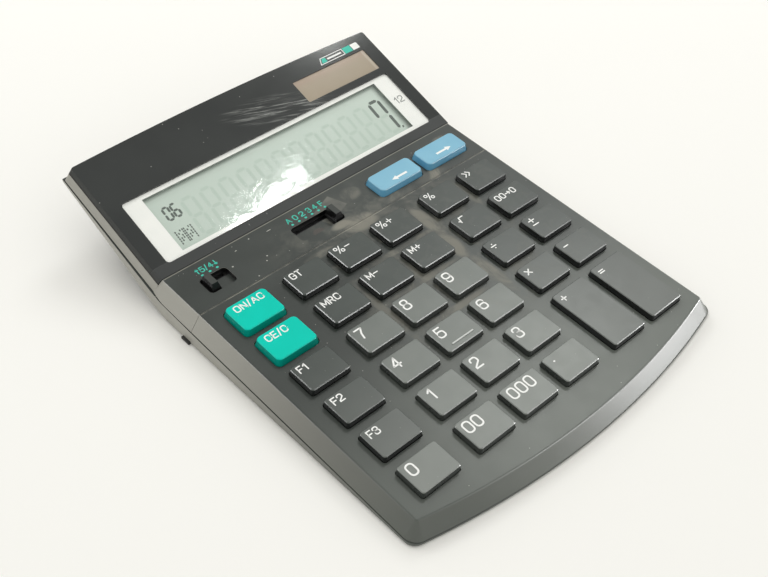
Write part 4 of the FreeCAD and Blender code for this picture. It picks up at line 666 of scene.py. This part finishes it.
def rounded(points, closed):
    # replaces each corner that has a radius by a short arc
    made = []
    count = len(points)
    for index, point in enumerate(points):
        here = Vector(point[:2])
        radius = point[2] if len(point) > 2 else 0
        ends = not closed and index in (0, count - 1)
        if ends or not radius:
            made.append(here)
            continue
        before = (Vector(points[index - 1][:2]) - here).normalized()
        after = (Vector(points[(index + 1) % count][:2]) - here).normalized()
        half = math.acos(max(-1, min(1, before.dot(after)))) / 2
        reach = radius / math.tan(half)
        arcStart = here + before * reach
        arcEnd = here + after * reach
        for part in range(cornerParts + 1):
            share = part / cornerParts
            made.append(arcStart.lerp(here, share).lerp(here.lerp(arcEnd, share), share))
    return made


def apart(points, closed):
    # the points without those that fall together
    made = [points[0]]
    for point in points[1:]:
        if (point - made[-1]).length > sameSpot:
            made.append(point)
    if closed and (made[0] - made[-1]).length < sameSpot:
        made.pop()
    return made


def ribbonEdges(points, closed, half):
    # left and right edge of a ribbon of one width along the points
    left = []
    right = []
    count = len(points)
    for index, point in enumerate(points):
        before = points[index - 1] if closed or index else None
        after = points[(index + 1) % count] if closed or index < count - 1 else None
        into = (point - before).normalized() if before is not None else None
        outOf = (after - point).normalized() if after is not None else None
        into = into or outOf
        outOf = outOf or into
        middle = (into + outOf).normalized()
        side = Vector((-middle.y, middle.x))
        spread = half / max(0.5, side.dot(Vector((-into.y, into.x))))
        left.append(point + side * spread)
        right.append(point - side * spread)
    return left, right


def corners(mesh, points, height, place):
    # points of a print, from millimetres on its plane
    return [mesh.verts.new(place @ (Vector((*point, height)) * mm)) for point in points]


def strokeSolid(mesh, points, closed, half, low, high, place):
    # a ribbon of one width with round ends, as a closed solid between two heights
    spots = apart(points, closed)
    count = len(spots)
    left, right = ribbonEdges(spots, closed, half)
    if closed:
        sides = ((left, high), (right, high), (right, low), (left, low))
        rings = [corners(mesh, side, height, place) for side, height in sides]
        for index in range(count):
            after = (index + 1) % count
            for one, other in zip(rings, rings[1:] + rings[:1]):
                mesh.faces.new((one[index], other[index], other[after], one[after]))
        return
    leftTop = corners(mesh, left, high, place)
    rightTop = corners(mesh, right, high, place)
    leftLow = corners(mesh, left, low, place)
    rightLow = corners(mesh, right, low, place)
    for index in range(count - 1):
        after = index + 1
        mesh.faces.new((leftTop[index], rightTop[index], rightTop[after], leftTop[after]))
        mesh.faces.new((rightTop[index], rightLow[index], rightLow[after], rightTop[after]))
        mesh.faces.new((rightLow[index], leftLow[index], leftLow[after], rightLow[after]))
        mesh.faces.new((leftLow[index], leftTop[index], leftTop[after], leftLow[after]))
    lastEnd = (spots[-1], spots[-1] - spots[-2], (rightTop[-1], leftTop[-1]), (rightLow[-1], leftLow[-1]))
    firstEnd = (spots[0], spots[0] - spots[1], (leftTop[0], rightTop[0]), (leftLow[0], rightLow[0]))
    for centre, facing, (topStart, topEnd), (lowStart, lowEnd) in (lastEnd, firstEnd):
        turn = math.atan2(facing.y, facing.x) - math.pi / 2
        angles = [turn + math.pi * part / endParts for part in range(1, endParts)]
        rim = [centre + Vector((math.cos(angle), math.sin(angle))) * half for angle in angles]
        upper = [topStart] + corners(mesh, rim, high, place) + [topEnd]
        lower = [lowStart] + corners(mesh, rim, low, place) + [lowEnd]
        mesh.faces.new(upper)
        mesh.faces.new(list(reversed(lower)))
        for step in range(len(upper) - 1):
            mesh.faces.new((upper[step], lower[step], lower[step + 1], upper[step + 1]))


def flatSolid(mesh, points, low, high, place):
    # a closed plate with any outline, anticlockwise
    top = corners(mesh, points, high, place)
    bottom = corners(mesh, points, low, place)
    mesh.faces.new(top)
    mesh.faces.new(list(reversed(bottom)))
    for index in range(len(points)):
        after = (index + 1) % len(points)
        mesh.faces.new((top[index], bottom[index], bottom[after], top[after]))


def finished(name, mesh, material, body):
    bmesh.ops.recalc_face_normals(mesh, faces=mesh.faces)
    data = bpy.data.meshes.new(name)
    mesh.to_mesh(data)
    mesh.free()
    data.materials.append(material)
    piece = bpy.data.objects.new(name, data)
    bpy.context.scene.collection.objects.link(piece)
    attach(piece, body)


def word(mesh, text, x, y, style, low, high, place):
    # x, y: lower left corner of the inked text, in millimetres on the plane
    weight = style["weight"]
    half = weight / 2
    tall = style["height"] - weight
    cursor = x + half
    for letter in text:
        width, strokes = glyphs[letter]
        for stroke in strokes:
            closed = stroke[0] == "ring"
            soft = rounded(stroke[1:] if closed else stroke, closed)
            placed = [Vector((cursor + point.x * tall, y + half + point.y * tall)) for point in soft]
            strokeSolid(mesh, placed, closed, half, low, high, place)
        cursor += width * tall + weight + style["gap"]


# Legends on the keys

keypad = {
    "columns": (-52.8, -29.3, -9.7, 9.9, 33.4, 53.0),
    "firstRow": -5.454,
    "rowPitch": 16.108,
    "top": 2.4,
    "inkRise": 0.035,
}

# key: column, row, text, its lower left corner from the key's middle, kind of lettering
legends = {
    "key_on_ac": (0, 0, "ON/AC", -5.8, 1.9, "letters"),
    "key_grand_total": (1, 0, "GT", -6.1, 1.9, "letters"),
    "key_rate_minus": (2, 0, "%-", -6.1, 1.5, "rates"),
    "key_rate_plus": (3, 0, "%+", -6.1, 1.5, "rates"),
    "key_percent": (4, 0, "%", -6.1, 1.5, "rates"),
    "key_replay": (5, 0, "~", -6.0, 1.9, "letters"),
    "key_clear_entry": (0, 1, "CE/C", -5.8, 1.9, "letters"),
    "key_memory_recall": (1, 1, "MRC", -6.1, 1.9, "letters"),
    "key_memory_minus": (2, 1, "M-", -6.1, 1.9, "letters"),
    "key_memory_plus": (3, 1, "M+", -6.1, 1.9, "letters"),
    "key_root": (4, 1, "v", -5.8, 1.7, "letters"),
    "key_correct": (5, 1, "00>0", -6.4, 1.2, "letters"),
    "key_margin": (0, 2, "F1", -6.2, 1.7, "letters"),
    "key_number_7": (1, 2, "7", -6.0, -0.15, "digits"),
    "key_number_8": (2, 2, "8", -6.1, -0.13, "digits"),
    "key_number_9": (3, 2, "9", -6.2, -0.1, "digits"),
    "key_divide": (4, 2, ":", -6.2, 1.0, "signs"),
    "key_change_sign": (5, 2, "_", -6.1, 0.3, "tallSigns"),
    "key_sell": (0, 3, "F2", -6.2, 1.7, "letters"),
    "key_number_4": (1, 3, "4", -6.1, -0.05, "digits"),
    "key_number_5": (2, 3, "5", -6.1, -0.05, "digits"),
    "key_number_6": (3, 3, "6", -6.1, -0.05, "digits"),
    "key_multiply": (4, 3, "x", -6.2, 0.8, "signs"),
    "key_subtract": (5, 3, "-", -6.1, 1.0, "signs"),
    "key_cost": (0, 4, "F3", -6.2, 1.7, "letters"),
    "key_number_1": (1, 4, "1", -5.5, 0.0, "digits"),
    "key_number_2": (2, 4, "2", -6.1, 0.0, "digits"),
    "key_number_3": (3, 4, "3", -6.1, 0.0, "digits"),
    "key_add": (4, 4, "+", -6.2, 1.0, "signs"),
    "key_equals": (5, 4, "=", -6.1, 1.0, "signs"),
    "key_number_0": (0, 5, "0", -6.1, 0.1, "digits"),
    "key_double_zero": (1, 5, "00", -6.3, 0.1, "digits"),
    "key_triple_zero": (2, 5, "000", -6.2, 0.1, "digits"),
    "key_decimal_point": (3, 5, ".", -5.0, 0.6, "digits"),
}
lettering = {
    "digits": {"height": 4.7, "weight": 0.6, "gap": 0.5},
    "letters": {"height": 3.05, "weight": 0.45, "gap": 0.3},
    "rates": {"height": 3.4, "weight": 0.4, "gap": 0.5},
    "signs": {"height": 3.5, "weight": 0.48, "gap": 0.3},
    "tallSigns": {"height": 4.3, "weight": 0.48, "gap": 0.3},
}

low = keypad["top"] - keypad["inkRise"]
high = keypad["top"] + keypad["inkRise"]
for key, (column, row, text, offX, offY, kind) in legends.items():
    made = bmesh.new()
    x = keypad["columns"][column] + offX
    y = keypad["firstRow"] - row * keypad["rowPitch"] + offY
    word(made, text, x, y, lettering[kind], low, high, deckPlace)
    finished(key.replace("key_", "legend_"), made, inkWhite, key)

arrow = {
    "head": 2.4,
    "headWide": 2.3,
    "shaft": 0.9,
    "key_check_back": (32.3, 25.05, 12.95),  # tail, tip and middle line
    "key_check_forward": (48.1, 55.5, 13.3),
}
thin = arrow["shaft"] / 2
wide = arrow["headWide"] / 2
for key in ("key_check_back", "key_check_forward"):
    made = bmesh.new()
    tail, tip, middle = arrow[key]
    neck = tip - arrow["head"] if tip > tail else tip + arrow["head"]
    outline = [(tail, -thin), (neck, -thin), (neck, -wide), (tip, 0)]
    outline += [(neck, wide), (neck, thin), (tail, thin)]
    flatSolid(made, [(x, middle + y) for x, y in outline], low, high, deckPlace)
    finished(key.replace("key_", "legend_"), made, inkWhite, key)
print("key legends done")


# Prints on the deck beside the two slide switches

slides = {
    "style": {"height": 2.6, "weight": 0.37, "gap": 0.3},
    "rise": 0.03,
    "low": 20.45,
    "dotLine": 19.35,
    "dotHalf": 0.42,
    "dotReach": 0.1,
    "decimal": [("A", -17.8), ("0", -14.6), ("2", -11.6), ("3", -8.5), ("4", -5.8), ("F", -2.7)],
    "decimalDots": [-16.7, -13.7, -10.7, -7.8, -4.8, -1.8],
    "rounding": [("^", -56.7), ("5", -55.1), ("/", -53.1), ("4", -51.7), ("!", -49.4)],
    "roundingDots": [-55.6, -52.5, -49.5],
}
for name in ("decimal", "rounding"):
    made = bmesh.new()
    for letter, x in slides[name]:
        word(made, letter, x, slides["low"], slides["style"], -slides["rise"], slides["rise"], deckPlace)
    for x in slides[name + "Dots"]:
        dot = [Vector((x + off, slides["dotLine"])) for off in (-slides["dotReach"], slides["dotReach"])]
        strokeSolid(made, dot, False, slides["dotHalf"], -slides["rise"], slides["rise"], deckPlace)
    finished(name + "_print", made, inkTeal, "case")


# Display: lit segments, the faint unlit ones, and the number on the white frame

crystal = {
    "depth": 2.0,  # below the face of the display
    "rise": 0.02,
    "digits": 12,
    "first": -43.15,
    "pitch": 8.05,
    "low": 8.4,
    "small": ((-50.4, "abcdef"), (-47.2, "acdefg")),  # left edge and lit segments of the small digits
    "smallLow": 19.0,
    "point": ((51.7, 8.9), (51.5, 8.5)),  # decimal point, from and to
    "pointHalf": 0.35,
    "unlitLower": 0.01,
}
largeDigit = {"tall": 15.6, "wide": 4.65, "thick": 1.35, "lean": 0.045, "gap": 0.24}
smallDigit = {"tall": 5.4, "wide": 2.15, "thick": 0.88, "lean": 0.04, "gap": 0.12}
segmentEnds = {
    "a": ((0, 2), (1, 2)), "b": ((1, 2), (1, 1)), "c": ((1, 1), (1, 0)), "d": ((1, 0), (0, 0)),
    "e": ((0, 0), (0, 1)), "f": ((0, 1), (0, 2)), "g": ((0, 1), (1, 1)),
}

# the two dotted marks in the corner
dotted = {
    "left": (-51.9, -48.4),
    "low": 9.0,
    "rows": 6,
    "rowPitch": 1.0,
    "columns": 4,
    "columnPitch": 0.95,
    "lean": 0.04,
    "half": 0.26,
    "reach": 0.17,
}


def segments(mesh, names, x, y, digit, low, high):
    # each segment is a bar with pointed ends
    wide = digit["wide"]
    tall = digit["tall"]
    thick = digit["thick"]
    for name in names:
        start, end = segmentEnds[name]
        first = Vector((x + start[0] * wide, y + start[1] * tall / 2))
        last = Vector((x + end[0] * wide, y + end[1] * tall / 2))
        run = (last - first).normalized()
        side = Vector((-run.y, run.x)) * thick / 2
        point = run * thick / 2
        first += run * thick * digit["gap"]
        last -= run * thick * digit["gap"]
        bar = [first, first + point - side, last - point - side]
        bar += [last, last - point + side, first + point + side]
        leaning = [(spot.x + (spot.y - y) * digit["lean"], spot.y) for spot in bar]
        flatSolid(mesh, leaning, low, high, displayPlace)


lit = bmesh.new()
low = -crystal["depth"] - crystal["rise"]
high = -crystal["depth"] + crystal["rise"]
lastX = crystal["first"] + crystal["pitch"] * (crystal["digits"] - 1)
segments(lit, "abcf", lastX, crystal["low"], largeDigit, low, high)
pointRun = [Vector(spot) for spot in crystal["point"]]
strokeSolid(lit, pointRun, False, crystal["pointHalf"], low, high, displayPlace)
for x, names in crystal["small"]:
    segments(lit, names, x, crystal["smallLow"], smallDigit, low, high)
reach = Vector((0, dotted["reach"]))
for left in dotted["left"]:
    for row in range(dotted["rows"]):
        for column in range(dotted["columns"]):
            if column in (0, 3) or row in (column, column + 1, column + 3):
                x = left + column * dotted["columnPitch"] + row * dotted["lean"]
                spot = Vector((x, dotted["low"] + row * dotted["rowPitch"]))
                strokeSolid(lit, [spot - reach, spot + reach], False, dotted["half"], low, high, displayPlace)
finished("crystal_segments", lit, segmentInk, "case")

ghosts = bmesh.new()
for number in range(crystal["digits"]):
    names = "deg" if number == crystal["digits"] - 1 else "abcdefg"
    x = crystal["first"] + crystal["pitch"] * number
    segments(ghosts, names, x, crystal["low"], largeDigit, low, high - crystal["unlitLower"])
finished("crystal_unlit", ghosts, ghostInk, "case")

frameNumber = {
    "style": {"height": 3.3, "weight": 0.42, "gap": 0.5},
    "place": (55.9, 17.5),
    "low": -0.67,
    "high": -0.62,
}
low = frameNumber["low"]
high = frameNumber["high"]
frameMark = bmesh.new()
word(frameMark, "12", *frameNumber["place"], frameNumber["style"], low, high, displayPlace)
finished("frame_number", frameMark, inkGrey, "case")


# Supply badge: a plain generic bar in the place of the printed one

badge = {
    "rise": 0.03,
    "lineHalf": 0.17,
    "outline": [(41.1, 47.5), (53.4, 47.5), (53.4, 50.3), (42.5, 50.3)],
    "white": [
        [(45.2, 48.5), (52.3, 48.5), (52.3, 49.3), (45.2, 49.3)],
        [(57.9, 47.4), (61.0, 47.4), (61.3, 47.8), (61.3, 50.0), (61.0, 50.4), (57.9, 50.4)],
    ],
    "teal": [
        [(53.8, 47.4), (57.6, 47.4), (57.6, 50.4), (53.8, 50.4)],
        [(42.0, 47.9), (44.6, 47.9), (44.6, 49.9), (42.9, 49.9)],
    ],
}
low = -badge["rise"]
high = badge["rise"]
made = bmesh.new()
outline = [Vector(spot) for spot in badge["outline"]]
strokeSolid(made, outline, True, badge["lineHalf"], low, high, displayPlace)
for field in badge["white"]:
    flatSolid(made, field, low, high, displayPlace)
finished("badge_outline", made, inkWhite, "case")
made = bmesh.new()
for field in badge["teal"]:
    flatSolid(made, field, low, high, displayPlace)
finished("badge_blocks", made, inkTeal, "case")
print("prints done")


# Stage, lights and camera

stage = {"colour": (0.955, 0.95, 0.915, 1), "other": (0.965, 0.96, 0.925, 1), "size": 3.0, "rough": 0.6}


def floorFinish():
    finish = Finish("tablePaper")
    made = finish.blend(finish.noise(180, 2.0), stage["colour"], stage["other"])
    grain = finish.bump(finish.noise(3, 2.0), 0.02, 0.1)
    return finish.plastic(made, stage["rough"], grain, {"Specular IOR Level": 0.0})


table = bmesh.new()
half = stage["size"] / 2
edges = ((-half, -half), (half, -half), (half, half), (-half, half))
table.faces.new([table.verts.new((x, y, 0)) for x, y in edges])
tableData = bpy.data.meshes.new("table")
table.to_mesh(tableData)
table.free()
tableData.materials.append(floorFinish())
floor = bpy.data.objects.new("table", tableData)
bpy.context.scene.collection.objects.link(floor)

# direction the light comes from, distance, size and power. The first size is level, the second runs up
# the sky. The plain lamps light the colours
plainLamps = {
    "main": {"from": (0.6, 0.42, 0.68), "far": 1.5, "size": (0.5, 0.5), "power": 4.6},
    "rear": {"from": (0.05, 0.72, 0.69), "far": 1.5, "size": (0.8, 0.35), "power": 3.0},
}

# and these are seen in the gloss alone: over the deck, along the edges of the keys, on the front lip
# and in the window
glossLamps = {
    "sheen": {
        "from": (0.565, 0.29, 0.772),
        "far": 3.0,
        "size": (0.36, 0.32),
        "power": 9.8,
        "colour": (0.97, 1.0, 0.965),
    },
    "frontBevels": {"from": (0.498, -0.698, 0.514), "far": 1.2, "size": (0.25, 0.25), "power": 5.0},
    "leftBevels": {"from": (-0.698, 0.514, 0.498), "far": 1.2, "size": (0.25, 0.25), "power": 5.0},
    "lip": {"from": (0.77, -0.62, 0.06), "far": 1.2, "size": (0.6, 0.3), "power": 40.0},
    "glare": {
        "from": (0.452, 0.099, 0.886),
        "far": 1.6,
        "size": (0.027, 0.17),
        "power": 0.34,
        "aim": (-0.015, 0.05, 0.015),
    },
}
for name, lamp in (plainLamps | glossLamps).items():
    data = bpy.data.lights.new(name + "Lamp", "AREA")
    data.shape = "RECTANGLE"
    data.size, data.size_y = lamp["size"]
    data.energy = lamp["power"]
    data.color = lamp.get("colour", (1, 1, 1))
    holder = bpy.data.objects.new(name + "Lamp", data)
    way = Vector(lamp["from"]).normalized()
    holder.location = Vector(lamp.get("aim", (0, 0, 0))) + way * lamp["far"]
    holder.rotation_euler = way.to_track_quat("Z", "Y").to_euler()
    bpy.context.scene.collection.objects.link(holder)
    holder.visible_camera = False
    holder.visible_diffuse = name in plainLamps
    holder.visible_glossy = name in glossLamps

room = {"colour": (1.0, 0.99, 0.96, 1), "strength": 0.78}
world = bpy.data.worlds.new("room")
world.use_nodes = True
background = world.node_tree.nodes["Background"]
background.inputs["Color"].default_value = room["colour"]
background.inputs["Strength"].default_value = room["strength"]
bpy.context.scene.world = world

lens = {
    "place": (-0.199358, -0.202811, 0.271807),
    "right": (0.73371316, -0.67905754, 0.0233638),
    "up": (0.46215725, 0.52397096, 0.71544749),
    "back": (-0.49807196, -0.51413548, 0.69827575),
    "length": 52.484,
    "sensor": 36,
    "nearest": 0.01,
}
cameraData = bpy.data.cameras.new("camera")
cameraData.lens = lens["length"]
cameraData.sensor_width = lens["sensor"]
cameraData.clip_start = lens["nearest"]
camera = bpy.data.objects.new("camera", cameraData)
turn = Matrix((lens["right"], lens["up"], lens["back"])).transposed()
camera.matrix_world = Matrix.Translation(lens["place"]) @ turn.to_4x4()
bpy.context.scene.collection.objects.link(camera)
bpy.context.scene.camera = camera
bpy.context.scene.view_settings.view_transform = "Standard"
print("stage, lamps and camera done")
